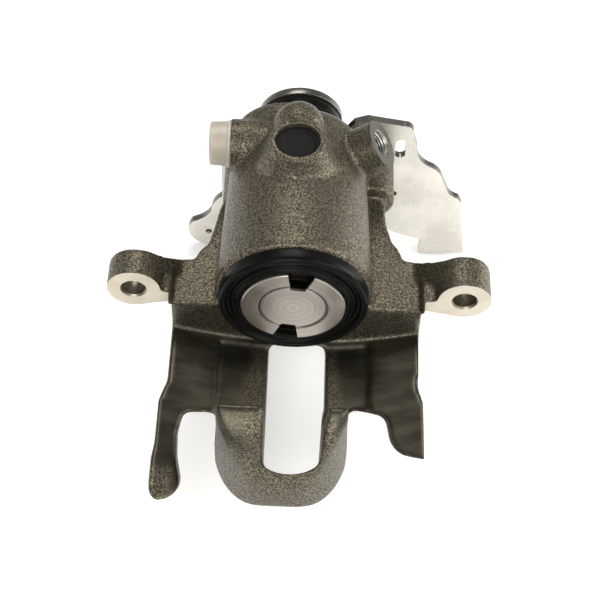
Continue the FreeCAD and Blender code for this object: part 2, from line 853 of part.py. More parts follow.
def nut_retaining_ring():
    collar("nut_retaining_ring", "piston_hollow - 2.2", "ring_groove_radius - parting_gap",
           "ring_groove_start + parting_gap", "ring_groove_start + ring_groove_width - parting_gap", 320)


def adjuster_spindle():
    """The threaded spindle and the ramp plate at its back, notched for the two key pins."""
    body = turned("adjuster_spindle", [
        (0, "spindle_front"),
        ("spindle_radius - 0.8", "spindle_front"),
        ("spindle_radius", "spindle_front + 0.8"),
        ("spindle_radius", "ramp_plate_front"),
        ("ramp_plate_radius", "ramp_plate_front"),
        ("ramp_plate_radius", "ramp_plate_end"),
        (0, "ramp_plate_end"),
    ])
    ball_tracks(body, "spindle")
    for side, name in ((-1, "left_key_notch"), (1, "right_key_notch")):
        drill(body, name, (f"{side} * key_pin_circle", 0), "key_pin_radius + 0.08",
              "ramp_plate_front - 1", "ramp_plate_end - ramp_plate_front + 2")


def spindle_key_pins():
    """Two pins that keep the spindle from turning."""
    pins = []
    for side, name in ((-1, "left_key_pin"), (1, "right_key_pin")):
        base = (f"{side} * key_pin_circle", "key_pin_start", 0)
        pins.append(cylinder(name, "key_pin_radius", "key_pin_end - key_pin_start", base, TURN_Z_TO_Y))
    grouped("spindle_key_pins", pins)


def ramp_spring():
    """The coil spring that pushes the spindle back when the lever is let go."""
    pitch = "(ramp_plate_front - cage_front - cage_wall - 2 * ramp_spring_wire - 0.3) / ramp_spring_turns"
    spring = coil("ramp_spring", "ramp_spring_radius", "ramp_spring_wire", pitch, "ramp_spring_turns")
    spring.Placement = Placement(Vector(), TURN_Z_TO_Y)
    place(spring, (0, "cage_front + cage_wall + ramp_spring_wire + 0.15", 0))


def spring_cage():
    """The cup that the spring pushes against, with a flange behind the circlip."""
    flange_start = "circlip_groove_start + circlip_groove_width"
    turned("spring_cage", [
        ("spindle_radius + 0.5", "cage_front"),
        ("cage_radius", "cage_front"),
        ("cage_radius", flange_start),
        ("cage_flange_radius", flange_start),
        ("cage_flange_radius", f"{flange_start} + cage_wall"),
        ("cage_radius - cage_wall", f"{flange_start} + cage_wall"),
        ("cage_radius - cage_wall", "cage_front + cage_wall"),
        ("spindle_radius + 0.5", "cage_front + cage_wall"),
    ])


def cage_circlip():
    collar("cage_circlip", "cage_radius + 0.4", "circlip_groove_radius - 0.1",
           "circlip_groove_start + parting_gap",
           "circlip_groove_start + circlip_groove_width - parting_gap", 325)


# ---------------------------------------------------------------- ball ramp and lever shaft

def ramp_balls():
    balls = []
    for index in range(int(size("ball_count"))):
        ball = doc.addObject("Part::Sphere", f"ramp_ball_{index + 1}")
        ball.setExpression("Radius", bound("ball_radius"))
        turn = f"{index} * 360 deg / ball_count"
        place(ball, (f"ball_circle * cos({turn})", "ball_centre", f"-ball_circle * sin({turn})"))
        balls.append(ball)
    grouped("ramp_balls", balls)


def operating_shaft():
    """The shaft that the lever turns, with the other ramp plate at its front end."""
    seat_end = "lever_front + lever_thickness"
    body = turned("operating_shaft", [
        (0, "shaft_flange_front"),
        ("shaft_flange_radius", "shaft_flange_front"),
        ("shaft_flange_radius", "shaft_flange_end"),
        ("shaft_radius", "shaft_flange_end"),
        ("shaft_radius", "lever_front - parting_gap"),
        ("shaft_seat_radius", "lever_front - parting_gap"),
        ("shaft_seat_radius", seat_end),
        ("shaft_thread_radius", seat_end),
        ("shaft_thread_radius", "shaft_end - 0.7"),
        ("shaft_thread_radius - 0.7", "shaft_end"),
        (0, "shaft_end"),
    ])
    ball_tracks(body, "shaft")
    sketch = sketch_on(body, "shaft_flats", "XZ_Plane", "-(lever_front - parting_gap)")
    for side in (-1, 1):
        flat, beyond = f"{side} * shaft_seat_flats / 2", f"{side} * (shaft_seat_radius + 2)"
        reach = "shaft_seat_radius + 2"
        draw(sketch, [(f"-({reach})", flat), (reach, flat), (reach, beyond), (f"-({reach})", beyond)])
    extrude(body, "Pocket", sketch, "lever_thickness + parting_gap")


def shaft_thrust_bearing():
    collar("shaft_thrust_bearing", "shaft_radius + 0.5", "shaft_flange_radius",
           "shaft_flange_end + parting_gap", "chamber_end - parting_gap")


def shaft_o_ring():
    ring = doc.addObject("Part::Torus", "shaft_o_ring")
    ring.Label = "shaft_o_ring"
    ring.setExpression("Radius1", bound("(shaft_radius + shaft_hole_radius) / 2"))
    ring.setExpression("Radius2", bound("(shaft_hole_radius - shaft_radius) / 2 - parting_gap"))
    ring.Placement = Placement(Vector(), TURN_Z_TO_Y)
    place(ring, (0, "chamber_end + 2", 0))


def shaft_bush():
    collar("shaft_bush", "shaft_radius + running_gap", "shaft_hole_radius - running_gap / 2",
           "chamber_end + 4", "barrel_rear - 0.1")


def shaft_boot():
    """The rubber boot between the back of the housing and the lever."""
    inner, back = "shaft_radius + 0.1", "lever_front - 0.15"
    turned("shaft_boot", [
        ("shaft_hole_radius + 0.2", "barrel_rear + parting_gap"),
        ("shaft_hole_radius + 6", "barrel_rear + parting_gap"),
        ("shaft_hole_radius + 7", "barrel_rear + 1.4"),
        ("shaft_hole_radius + 5.6", "barrel_rear + 3"),
        ("shaft_hole_radius + 5.6", "barrel_rear + 4.4"),
        ("shaft_hole_radius + 7.4", "barrel_rear + 6.2"),
        ("shaft_hole_radius + 7.4", f"{back} - 1"),
        ("shaft_hole_radius + 6.4", back),
        (inner, back),
        (inner, f"{back} - 3"),
        ("shaft_hole_radius + 4.6", f"{back} - 3"),
        ("shaft_hole_radius + 3.4", "barrel_rear + 4.6"),
        ("shaft_hole_radius + 3.4", "barrel_rear + 2.8"),
        ("shaft_hole_radius + 0.2", "barrel_rear + 1.4"),
    ])


# ---------------------------------------------------------------- lever

def lever_web():
    """The four corners of the straight-sided web between the lever's hub and its tip."""
    tip = Vector(size("lever_tip_x"), size("lever_tip_z"), 0)
    length = tip.Length
    along = tip / length
    across = Vector(-along.y, along.x, 0)
    hub_radius, tip_radius = size("lever_hub_radius"), size("lever_tip_radius")
    lean = (hub_radius - tip_radius) / length
    spread = math.sqrt(1 - lean ** 2)
    points = []
    for side, radius, middle in ((1, hub_radius, Vector()), (1, tip_radius, tip),
                                 (-1, tip_radius, tip), (-1, hub_radius, Vector())):
        points.append(middle + (along * lean + across * (side * spread)) * radius)
    return [(f"{point.x:.6f}", f"{point.y:.6f}") for point in points]


def handbrake_lever():
    """A flat lever: a round hub on the shaft's flats and an arm down to the cable's pin hole."""
    body = plate("handbrake_lever", lever_web(), "lever_front", "lever_thickness")
    rounds = (("lever_hub", (0, 0), "lever_hub_radius"),
              ("lever_tip", ("lever_tip_x", "lever_tip_z"), "lever_tip_radius"))
    for name, centre, radius in rounds:
        sketch = sketch_on(body, name, "XZ_Plane", "-lever_front")
        draw_circle(sketch, centre, radius)
        extrude(body, "Pad", sketch, "lever_thickness", reverse=True)
    seat = sketch_on(body, "lever_seat", "XZ_Plane", "-lever_front")
    radius, half = "shaft_seat_radius + running_gap", "shaft_seat_flats / 2 + running_gap"
    reach = f"sqrt(({radius}) ^ 2 - ({half}) ^ 2)"
    draw(seat, [
        (f"-{reach}", f"-({half})"),
        (reach, f"-({half})", radius),
        (reach, half),
        (f"-{reach}", half, radius),
    ])
    extrude(body, "Pocket", seat, "lever_thickness")
    drill(body, "lever_pin_hole", ("lever_tip_x", "lever_tip_z"), "lever_pin_hole",
          "lever_front", "lever_thickness")
    drill(body, "lever_spring_hole", ("lever_spring_x", "lever_spring_z"), "spring_hole_radius",
          "lever_front", "lever_thickness")


def lever_washer():
    collar("lever_washer", "shaft_thread_radius + running_gap", "shaft_thread_radius + 4",
           "lever_front + lever_thickness + parting_gap", "lever_front + lever_thickness + 1.6")


def hexagon(across_flats):
    """The six corners of a hexagon with two flats across the Z axis."""
    corner = across_flats / math.sqrt(3)
    angles = [math.radians(60 * index) for index in range(6)]
    return [(f"{corner * math.cos(angle):.6f}", f"{corner * math.sin(angle):.6f}") for angle in angles]


def lever_nut():
    start = "lever_front + lever_thickness + 1.65"
    height = 4.0
    body = plate("lever_nut", hexagon(17.0), start, height)
    drill(body, "lever_nut_hole", (0, 0), "shaft_thread_radius + running_gap", start, height)


def lever_return_spring():
    """A tension spring from the bracket's left lobe to the lever, between their two planes."""
    name, radius, wire = "lever_return_spring", "return_spring_radius", "return_spring_wire"
    anchor = Vector(size("bracket_spring_x"), size("return_spring_y"), size("bracket_spring_z"))
    moving = Vector(size("lever_spring_x"), size("return_spring_y"), size("lever_spring_z"))
    along = (moving - anchor).normalize()
    hook = size("return_spring_hook")
    wound_length = (moving - anchor).Length - 2 * hook
    pitch = f"{wound_length:.6f} / return_spring_turns"
    wound = coil(name + "_coil", radius, wire, pitch, "return_spring_turns")
    straight, flipped = Rotation(), Rotation(Vector(1, 0, 0), 180)
    outwards, inwards = Rotation(Vector(0, 1, 0), 90), Rotation(Vector(0, 1, 0), -90)
    legs = [
        cylinder(name + "_near_leg", wire, hook, (radius, 0, 0), flipped),
        cylinder(name + "_near_hook", wire, 4.5, (radius, 0, -hook), outwards),
        cylinder(name + "_far_leg", wire, hook, (f"-{radius}", 0, wound_length), straight),
        cylinder(name + "_far_hook", wire, 5, (f"-{radius}", 0, wound_length + hook), inwards),
    ]
    spring = joined(name, [wound, *legs])
    towards_front = Vector(0, -1, 0)
    turn = Rotation(towards_front, along.cross(towards_front), along, "ZXY")
    spring.Placement = Placement(anchor + along * hook, turn)


# ---------------------------------------------------------------- cable bracket

def cable_bracket():
    """The pressed plate that holds the end of the cable's sleeve, bolted across the back."""
    gap = "bracket_hub_gap + 0.6"
    outline = [
        (17.5, 7),
        (21, 12.5),
        (26, 14.5),
        (40, 12, -4),
        (44, 7),
        (46, 0, 12),
        (52.5, -11.5, -10),
        (57.5, -18),
        (60, -24.5, 8),
        (65, -30, -10),
        (67, -38),
        (71, -65),
        (62, -64),
        (52, -57),
        (43, -54),
        (36, -50),
        (30, -40),
        (16, -27),
        (-14, -27),
        (-22, -42),
        (-26, -60, -9),
        (-41, -64, -9),
        (-43, -51, 14),
        (-35, -43, -12),
        (-30.5, -34),
        (-30.5, -8),
        (-26, 2),
        (-18.2, 2, gap),
        (0, -18.2, gap),
        (18.2, 0),
    ]
    body = plate("cable_bracket", outline, "bracket_front", "bracket_thickness")
    holes = (
        ("left_bracket_hole", ("left_bolt_x", "left_bolt_z"), "bracket_bolt_radius + 0.2"),
        ("right_bracket_hole", ("right_bolt_x", "right_bolt_z"), "bracket_bolt_radius + 0.2"),
        ("bracket_small_hole", (38.5, -28), 1.6),
        ("bracket_spring_hole", ("bracket_spring_x", "bracket_spring_z"), "spring_hole_radius"),
    )
    for name, centre, radius in holes:
        drill(body, name, centre, radius, "bracket_front", "bracket_thickness")
    slot = sketch_on(body, "bracket_slot", "XZ_Plane", "-bracket_front")
    draw(slot, [(37.5, 2.5), (37.5, -4.5, 2.1), (41.5, -4.5), (41.5, 2.5, 2.1)])
    extrude(body, "Pocket", slot, "bracket_thickness")
    cable_tab(body)


def cable_tab(body):
    """The tab bent back from the bracket, with the fork that takes the cable's ferrule."""
    tab = sketch_on(body, "cable_tab", "XY_Plane", -66)
    front, rear, bend = "bracket_front", "bracket_front + 19", 5
    draw(tab, [
        (52, front),
        (62, front, bend),
        (67, f"{front} + {bend}"),
        (67, rear),
        ("67 - bracket_thickness", rear),
        ("67 - bracket_thickness", f"{front} + {bend}", -2),
        (62, f"{front} + bracket_thickness"),
        (52, f"{front} + bracket_thickness"),
    ])
    extrude(body, "Pad", tab, 15.5)
    fork = sketch_on(body, "cable_fork", "YZ_Plane", 80)
    radius = "cable_fork_radius"
    draw(fork, [
        ("cable_fork_y", f"cable_fork_z + {radius}", f"{radius} + 0.1"),
        ("cable_fork_y", f"cable_fork_z - {radius}"),
        ("cable_fork_y + 20", f"cable_fork_z - {radius}"),
        ("cable_fork_y + 20", f"cable_fork_z + {radius}"),
    ])
    extrude(body, "Pocket", fork, 30)


def bracket_bolts():
    """Two hexagon bolts with a flange under the head."""
    bolts = []
    back = "bracket_front + bracket_thickness + parting_gap"
    for name in ("left", "right"):
        middle_x, middle_z = name + "_bolt_x", name + "_bolt_z"
        shank_start = "bracket_front - bracket_bolt_length + 1"
        shank = cylinder(name + "_bolt_shank", "bracket_bolt_radius", f"{back} - ({shank_start}) + 0.5",
                         (middle_x, shank_start, middle_z), TURN_Z_TO_Y)
        flange = cylinder(name + "_bolt_flange", "bracket_bolt_radius + 3.4", 1.2,
                          (middle_x, back, middle_z), TURN_Z_TO_Y)
        head = doc.addObject("Part::Prism", name + "_bolt_head")
        head.Polygon = 6
        head.setExpression("Circumradius", bound("bracket_bolt_radius + 3.2"))
        head.Height = 6
        head.Placement = Placement(Vector(), TURN_Z_TO_Y)
        place(head, (middle_x, back, middle_z))
        bolts.append(joined(name + "_bolt", [shank, flange, head]))
    grouped("bracket_bolts", bolts)


# ---------------------------------------------------------------- plugs

def top_boss_plug():
    """The dark plug sunk in the boss on top of the barrel."""
    height = "top_plug_depth - top_plug_recess - parting_gap"
    body = turned("top_boss_plug", [
        (0, 0),
        ("top_plug_radius", 0),
        ("top_plug_radius", height),
        ("top_plug_radius - 1.2", height),
        ("top_plug_radius - 1.8", f"{height} - 0.8"),
        (0, f"{height} - 0.8"),
    ])
    body.Placement = Placement(Vector(), TURN_Y_TO_Z)
    place(body, ("top_boss_x", "top_boss_y", "top_boss_top - top_plug_depth + parting_gap"))


def port_plug():
    """The plastic transport plug in the left port: a flanged cap on a short stem."""
    body = turned("port_plug", [
        (0, -8),
        ("port_thread_radius - 0.1", -8),
        ("port_thread_radius - 0.1", "parting_gap"),
        ("port_plug_radius + 0.6", "parting_gap"),
        ("port_plug_radius + 0.6", 1.3),
        ("port_plug_radius", 1.3),
        ("port_plug_radius - 0.3", "port_plug_height - 1", 1),
        ("port_plug_radius - 1.3", "port_plug_height"),
        (3.2, "port_plug_height"),
        (3.2, "port_plug_height - 3"),
        (0, "port_plug_height - 3"),
    ])
    body.Placement = Placement(Vector(), TURN_Y_TO_MINUS_X)
    place(body, ("left_port_x", "left_port_y", "left_port_z"))


# ---------------------------------------------------------------- build, check and write

BUILDERS = [
    housing, piston, piston_seal, dust_boot, boot_ring,
    adjuster_nut, nut_thrust_bearing, nut_spring_washer, nut_retaining_ring,
    adjuster_spindle, spindle_key_pins, ramp_spring, spring_cage, cage_circlip,
    ramp_balls, operating_shaft, shaft_thrust_bearing, shaft_o_ring, shaft_bush, shaft_boot,
    handbrake_lever, lever_washer, lever_nut, lever_return_spring,
    cable_bracket, bracket_bolts, top_boss_plug, port_plug,
]

SUB_PARTS = ["caliper_housing"] + [builder.__name__ for builder in BUILDERS[1:]]


def check():
    """Stop if any object failed or any sub-part's shape isn't a sound solid."""
    for item in doc.Objects:
        if "Invalid" in item.State or "Error" in item.State:
            raise RuntimeError(f"{item.Name} failed: {item.State}")
    for label in SUB_PARTS:
        shape = doc.getObjectsByLabel(label)[0].Shape
        if shape.isNull() or not shape.isValid() or not shape.Solids:
            raise RuntimeError(f"{label} has no valid solid")


def write():
    os.makedirs("parts", exist_ok=True)
    for label in SUB_PARTS:
        doc.getObjectsByLabel(label)[0].Shape.exportStep(f"parts/{label}.step")


for builder in BUILDERS:
    builder()
doc.recompute()
check()
write()
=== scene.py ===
"""Looks of the brake caliper: the cast housing, rubber boots, springs, materials, light and camera."""
import json
import math

import bmesh
import bpy
import numpy as np
from mathutils import Matrix, Vector

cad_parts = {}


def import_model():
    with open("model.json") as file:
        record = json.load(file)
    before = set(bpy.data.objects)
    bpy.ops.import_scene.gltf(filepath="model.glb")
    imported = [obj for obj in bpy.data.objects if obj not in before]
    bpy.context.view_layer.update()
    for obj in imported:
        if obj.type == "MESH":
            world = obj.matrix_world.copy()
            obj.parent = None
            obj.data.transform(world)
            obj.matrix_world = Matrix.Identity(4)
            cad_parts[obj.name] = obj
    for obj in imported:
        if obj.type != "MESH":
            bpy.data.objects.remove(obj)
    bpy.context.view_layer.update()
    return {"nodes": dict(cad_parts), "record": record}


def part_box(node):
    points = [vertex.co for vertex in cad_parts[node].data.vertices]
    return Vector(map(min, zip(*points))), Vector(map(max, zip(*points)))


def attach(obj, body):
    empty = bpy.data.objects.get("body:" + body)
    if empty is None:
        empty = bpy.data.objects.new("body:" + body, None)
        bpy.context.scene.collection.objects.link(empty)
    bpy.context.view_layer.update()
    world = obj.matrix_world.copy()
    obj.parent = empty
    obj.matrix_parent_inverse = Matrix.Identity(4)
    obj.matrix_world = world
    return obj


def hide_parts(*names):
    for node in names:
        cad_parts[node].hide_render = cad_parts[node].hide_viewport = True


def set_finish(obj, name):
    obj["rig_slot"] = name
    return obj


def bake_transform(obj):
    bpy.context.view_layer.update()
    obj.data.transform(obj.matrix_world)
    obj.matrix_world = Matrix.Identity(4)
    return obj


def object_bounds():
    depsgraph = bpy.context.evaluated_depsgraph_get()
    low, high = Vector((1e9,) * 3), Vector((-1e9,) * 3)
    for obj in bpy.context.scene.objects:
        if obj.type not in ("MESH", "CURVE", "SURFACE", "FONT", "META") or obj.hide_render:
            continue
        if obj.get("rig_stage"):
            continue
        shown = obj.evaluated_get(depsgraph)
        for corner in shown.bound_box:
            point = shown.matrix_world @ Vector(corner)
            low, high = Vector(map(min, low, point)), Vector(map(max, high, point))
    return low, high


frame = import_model()

MM = 0.001

# the housing, in millimetres
FINE_VOXEL = 0.65
VOXEL = FINE_VOXEL
SMOOTHING_ROUNDS = 34
MACHINING_STOCK = 2
EAR_FRONT = 5.8
EAR_X = (-58.0, 62.0)
EAR_MIDDLE = 2.0
EAR_HOLE = 4.2
REAR = 79.0
BOLT_HOLE = 4.03
PASSAGE_RADIUS = 1.6
PORT_RADIUS = 5.0
PORT_DEPTH = 11
TOP_BORE = 8.18
# outlines of turned shapes, as pairs of radius and depth along the bore
BORE_PROFILE = [
    (0, -5), (22.4, -5), (22.4, 9), (19.03, 9), (19.03, 12), (21.3, 12), (21.3, 15), (19.03, 15),
    (19.03, 50), (16, 50), (16, 52.4), (17.3, 52.4), (17.3, 54), (16, 54), (16, 71),
    (9, 71), (9, 84), (0, 84),
]
PISTON_PROFILE = [
    (0, 0), (11.6, 0), (11.8, 0.08), (12.0, 0.45), (12.6, 0.45), (12.8, 0.08), (13.0, 0),
    (18.5, 0), (18.7, 0.12), (18.9, 0.35), (19, 0.65), (19, 4.6), (17.6, 4.6), (17.6, 7.6), (19, 7.6),
    (19, 45), (18, 46), (13.5, 46), (13.5, 19.85), (14.35, 19.85), (14.35, 18.25), (13.5, 18.25),
    (13.5, 10.5), (12, 8), (0, 8),
]
NOTCH = [(-2.6, 10.4), (2.6, 10.4), (5.2, 20), (-5.2, 20)]
NOTCH_DEPTH = 3.8
NOTCH_TURN = 8.0
RIGHT_PORT = Vector((31, 64.4, 18))
RIGHT_AXIS = Vector((0.83, 0.02, 0.56)).normalized()
LEFT_PORT = Vector((-25.5, 65, 14))
LEFT_AXIS = Vector((-1, 0, 0))
TOP_BOSS = Vector((-0.6, 50.4, 34))
BOLTS = [(-20.5, -14.0), (29.0, -9.5)]
BORE_AXIS = Vector((0, 1, 0))
UP = Vector((0, 0, 1))
BRIDGE_CENTRE_Z = 110.0
BRIDGE_INSIDE = 140.5

# widths in millimetres of the soft edges on the carried-over CAD nodes
SOFT_EDGES = {
    "handbrake_lever": 0.45,
    "lever_washer": 0.25,
    "lever_nut": 0.3,
    "cable_bracket": 0.6,
    "bracket_bolts": 0.3,
    "port_plug": 0.4,
    "top_boss_plug": 0.3,
}
FLAT_ANGLE = 0.5
EDGE_ANGLE = 38


# ---------------------------------------------------------------- mesh helpers

def smoothstep(low, high, values):
    """0 below low, 1 above high, and an S curve between; low may be the larger one."""
    t = np.clip((values - low) / (high - low), 0, 1)
    return t * t * (3 - 2 * t)


def add_object(name, mesh):
    obj = bpy.data.objects.new(name, mesh)
    bpy.context.scene.collection.objects.link(obj)
    return obj


def build(name, points, faces):
    """A mesh object from points in millimetres."""
    mesh = bpy.data.meshes.new(name)
    mesh.from_pydata([tuple(c * MM for c in p) for p in points], [], faces)
    mesh.validate()
    mesh.update()
    return add_object(name, mesh)


def shade(obj, angle=35):
    obj.data.polygons.foreach_set("use_smooth", [True] * len(obj.data.polygons))
    obj.data.set_sharp_from_angle(angle=math.radians(angle))


def cross_frame(axis):
    """Two directions across an axis."""
    side = axis.cross(UP if abs(axis.z) < 0.9 else BORE_AXIS).normalized()
    return side, axis.cross(side).normalized()


def rounded_loop(points, steps=6):
    """A closed Catmull-Rom curve through points in a plane."""
    count = len(points)
    out = []
    for i in range(count):
        p0, p1, p2, p3 = (np.array(points[(i + k) % count], float) for k in (-1, 0, 1, 2))
        for step in range(steps):
            t = step / steps
            out.append(tuple(0.5 * (2 * p1 + (p2 - p0) * t + (2 * p0 - 5 * p1 + 4 * p2 - p3) * t * t
                                    + (3 * p1 - p0 - 3 * p2 + p3) * t ** 3)))
    return out


def lathe(name, loop, base=Vector(), axis=BORE_AXIS, segments=96):
    """A closed outline of (radius, along) turned about an axis; radius 0 becomes one point."""
    side, other = cross_frame(axis)
    points, rings, faces = [], [], []
    for radius, along in loop:
        centre = base + axis * along
        if radius < 1e-6:
            rings.append([len(points)])
            points.append(centre)
            continue
        rings.append(list(range(len(points), len(points) + segments)))
        for k in range(segments):
            turn = 2 * math.pi * k / segments
            points.append(centre + (side * math.cos(turn) + other * math.sin(turn)) * radius)
    for ring, after in zip(rings, rings[1:] + rings[:1]):
        if len(ring) == 1 and len(after) == 1:
            continue
        for k in range(segments):
            j = (k + 1) % segments
            if len(ring) == 1:
                faces.append((ring[0], after[j], after[k]))
            elif len(after) == 1:
                faces.append((ring[k], ring[j], after[0]))
            else:
                faces.append((ring[k], ring[j], after[j], after[k]))
    obj = build(name, points, faces)
    face_outwards(obj)
    return obj


def face_outwards(obj):
    bm = bmesh.new()
    bm.from_mesh(obj.data)
    bmesh.ops.recalc_face_normals(bm, faces=bm.faces)
    bm.to_mesh(obj.data)
    bm.free()


def rod(name, start, end, radius, segments=64):
    axis = (end - start).normalized()
    length = (end - start).length
    return lathe(name, [(0, 0), (radius, 0), (radius, length), (0, length)], start, axis, segments)


def block(name, low, high):
    corners = [(x, y, z) for x in (low[0], high[0]) for y in (low[1], high[1]) for z in (low[2], high[2])]
    faces = [(0, 1, 3, 2), (4, 6, 7, 5), (0, 4, 5, 1), (2, 3, 7, 6), (0, 2, 6, 4), (1, 5, 7, 3)]
    return build(name, corners, faces)


def prism(name, outline, low, high):
    """A solid with an outline in X and Z, from one depth along the bore to another."""
    count = len(outline)
    points = [(x, y, z) for y in (low, high) for x, z in outline]
    faces = [tuple(range(count)), tuple(range(count, 2 * count))]
    for k in range(count):
        j = (k + 1) % count
        faces.append((k, j, count + j, count + k))
    obj = build(name, points, faces)
    face_outwards(obj)
    return obj


def tube(name, path, radius, segments=14):
    """A round wire along a list of points, with closed ends."""
    path = [Vector(p) for p in path]
    points, faces = [], []
    tangent = (path[1] - path[0]).normalized()
    side, _ = cross_frame(tangent)
    for i, centre in enumerate(path):
        ahead = path[min(i + 1, len(path) - 1)] - path[max(i - 1, 0)]
        tangent = ahead.normalized()
        side = (side - tangent * side.dot(tangent)).normalized()
        other = tangent.cross(side)
        for k in range(segments):
            turn = 2 * math.pi * k / segments
            points.append(centre + (side * math.cos(turn) + other * math.sin(turn)) * radius)
    for i in range(len(path) - 1):
        for k in range(segments):
            j = (k + 1) % segments
            a, b = i * segments, (i + 1) * segments
            faces.append((a + k, a + j, b + j, b + k))
    faces.append(tuple(reversed(range(segments))))
    faces.append(tuple(range((len(path) - 1) * segments, len(path) * segments)))
    obj = build(name, points, faces)
    shade(obj, 50)
    return obj


def apply_modifiers(obj):
    graph = bpy.context.evaluated_depsgraph_get()
    mesh = bpy.data.meshes.new_from_object(obj.evaluated_get(graph))
    obj.modifiers.clear()
    obj.data = mesh


def combine(obj, tools, operation):
    """Add solids to an object or take them away, one after another."""
    for tool in tools:
        modifier = obj.modifiers.new("combine", "BOOLEAN")
        modifier.operation = operation
        modifier.object = tool
        modifier.solver = "MANIFOLD"
        apply_modifiers(obj)
        bpy.data.objects.remove(tool)


# ---------------------------------------------------------------- the cast housing

def plugs():
    """Solids that fill every machined hole of the housing before its edges are rounded."""
    made = [
        rod("plug_bore", Vector((0, 3.5, 0)), Vector((0, 50, 0)), 24),
        rod("plug_chamber", Vector((0, 45, 0)), Vector((0, 74, 0)), 18),
        rod("plug_shaft", Vector((0, 70, 0)), Vector((0, REAR + 1.9, 0)), 12),
        rod("plug_right", RIGHT_PORT - RIGHT_AXIS * 14, RIGHT_PORT + RIGHT_AXIS * 1.5, 9.2),
        rod("plug_left", LEFT_PORT - LEFT_AXIS * 12, LEFT_PORT + LEFT_AXIS * 1.2, 9.5),
        rod("plug_top", TOP_BOSS - UP * 12, TOP_BOSS + UP * 0.05, 9.4),
    ]
    for x in EAR_X:
        made.append(rod("plug_ear", Vector((x, EAR_FRONT - 1.9, 0)), Vector((x, EAR_FRONT + 11, 0)), 6.5))
    for x, z in BOLTS:
        made.append(rod("plug_bolt", Vector((x, 60, z)), Vector((x, REAR + 1.9, z)), 6))
    return made


def machining():
    """Solids that the housing's machined faces and holes are cut with."""
    ring = [(0, 0), (11.5, 0), (11.5, 6), (0, 6)]
    lip = PORT_RADIUS + 1
    drilled = [(0, -PORT_DEPTH), (PORT_RADIUS, -PORT_DEPTH)]
    right_port = drilled + [(PORT_RADIUS, -0.7), (lip, 0.3), (lip, 4), (0, 4)]
    left_port = drilled + [(PORT_RADIUS, 4), (0, 4)]
    top_bore = [(0, -7), (TOP_BORE, -7), (TOP_BORE, -0.3), (8.6, 0.3), (8.6, 2.2), (0, 2.2)]
    made = [
        lathe("cut_bore", BORE_PROFILE, segments=128),
        lathe("cut_right_face", ring, RIGHT_PORT, RIGHT_AXIS),
        lathe("cut_right_port", right_port, RIGHT_PORT, RIGHT_AXIS),
        lathe("cut_left_face", [(0, 0), (10.5, 0), (10.5, 6), (0, 6)], LEFT_PORT, LEFT_AXIS),
        lathe("cut_left_port", left_port, LEFT_PORT, LEFT_AXIS),
        lathe("cut_top", top_bore, TOP_BOSS, UP),
        rod("cut_right_passage", RIGHT_PORT - RIGHT_AXIS * 26, RIGHT_PORT, PASSAGE_RADIUS, 24),
        rod("cut_left_passage", LEFT_PORT - LEFT_AXIS * 26, LEFT_PORT, PASSAGE_RADIUS, 24),
        block("cut_rear", (-60, REAR, -60), (60, REAR + 10, 60)),
    ]
    for x in EAR_X:
        near, far = (47.9, 80) if x > 0 else (-80, -45.4)
        made.append(block("cut_ear_face", (near, -10, -14), (far, EAR_FRONT, 14)))
        wide = EAR_HOLE + 0.6
        chamfer = [(0, -8), (wide, -8), (wide, 0), (EAR_HOLE, 0.6), (EAR_HOLE, 30), (0, 30)]
        made.append(lathe("cut_ear_hole", chamfer, Vector((x, EAR_FRONT, 0))))
    for x, z in BOLTS:
        made.append(rod("cut_bolt", Vector((x, REAR - 16, z)), Vector((x, REAR + 5, z)), BOLT_HOLE, 32))
    for side in (-1, 1):
        made.append(rod("cut_key", Vector((15.6 * side, 55.1, 0)), Vector((15.6 * side, 63.5, 0)), 1.53, 24))
    return made


def relax(obj, rounds, weights):
    """Move each point towards the middle of its neighbours, by its own weight, a number of times."""
    mesh = obj.data
    count = len(mesh.vertices)
    co = np.empty(count * 3)
    mesh.vertices.foreach_get("co", co)
    co = co.reshape(-1, 3)
    pairs = np.empty(len(mesh.edges) * 2, int)
    mesh.edges.foreach_get("vertices", pairs)
    a, b = pairs[::2], pairs[1::2]
    ends = np.concatenate((a, b))
    others = np.concatenate((b, a))
    degree = np.bincount(ends, minlength=count)[:, None]
    for _ in range(rounds):
        middle = np.stack([np.bincount(ends, co[others, k], count) for k in range(3)], 1) / degree
        co += (middle - co) * weights[:, None]
    mesh.vertices.foreach_set("co", co.ravel())
    mesh.update()


def points_of(obj):
    co = np.empty(len(obj.data.vertices) * 3)
    obj.data.vertices.foreach_get("co", co)
    return co.reshape(-1, 3) / MM


def along_and_across(co, base, axis):
    """How far points lie along an axis from its base, and away from it."""
    offset = co - np.array(base)
    along = offset @ np.array(axis)
    return along, np.linalg.norm(offset - along[:, None] * np.array(axis), axis=1)


def rounding(co):
    """How strongly each point of the casting is rounded: gently on the body, strongly on the claw."""
    x, y, z = co.T
    weights = np.full(len(co), 0.16)
    claw = smoothstep(-33, -43, y) * smoothstep(-29, -22, x) * smoothstep(26, 19, x)
    return weights + 0.34 * claw


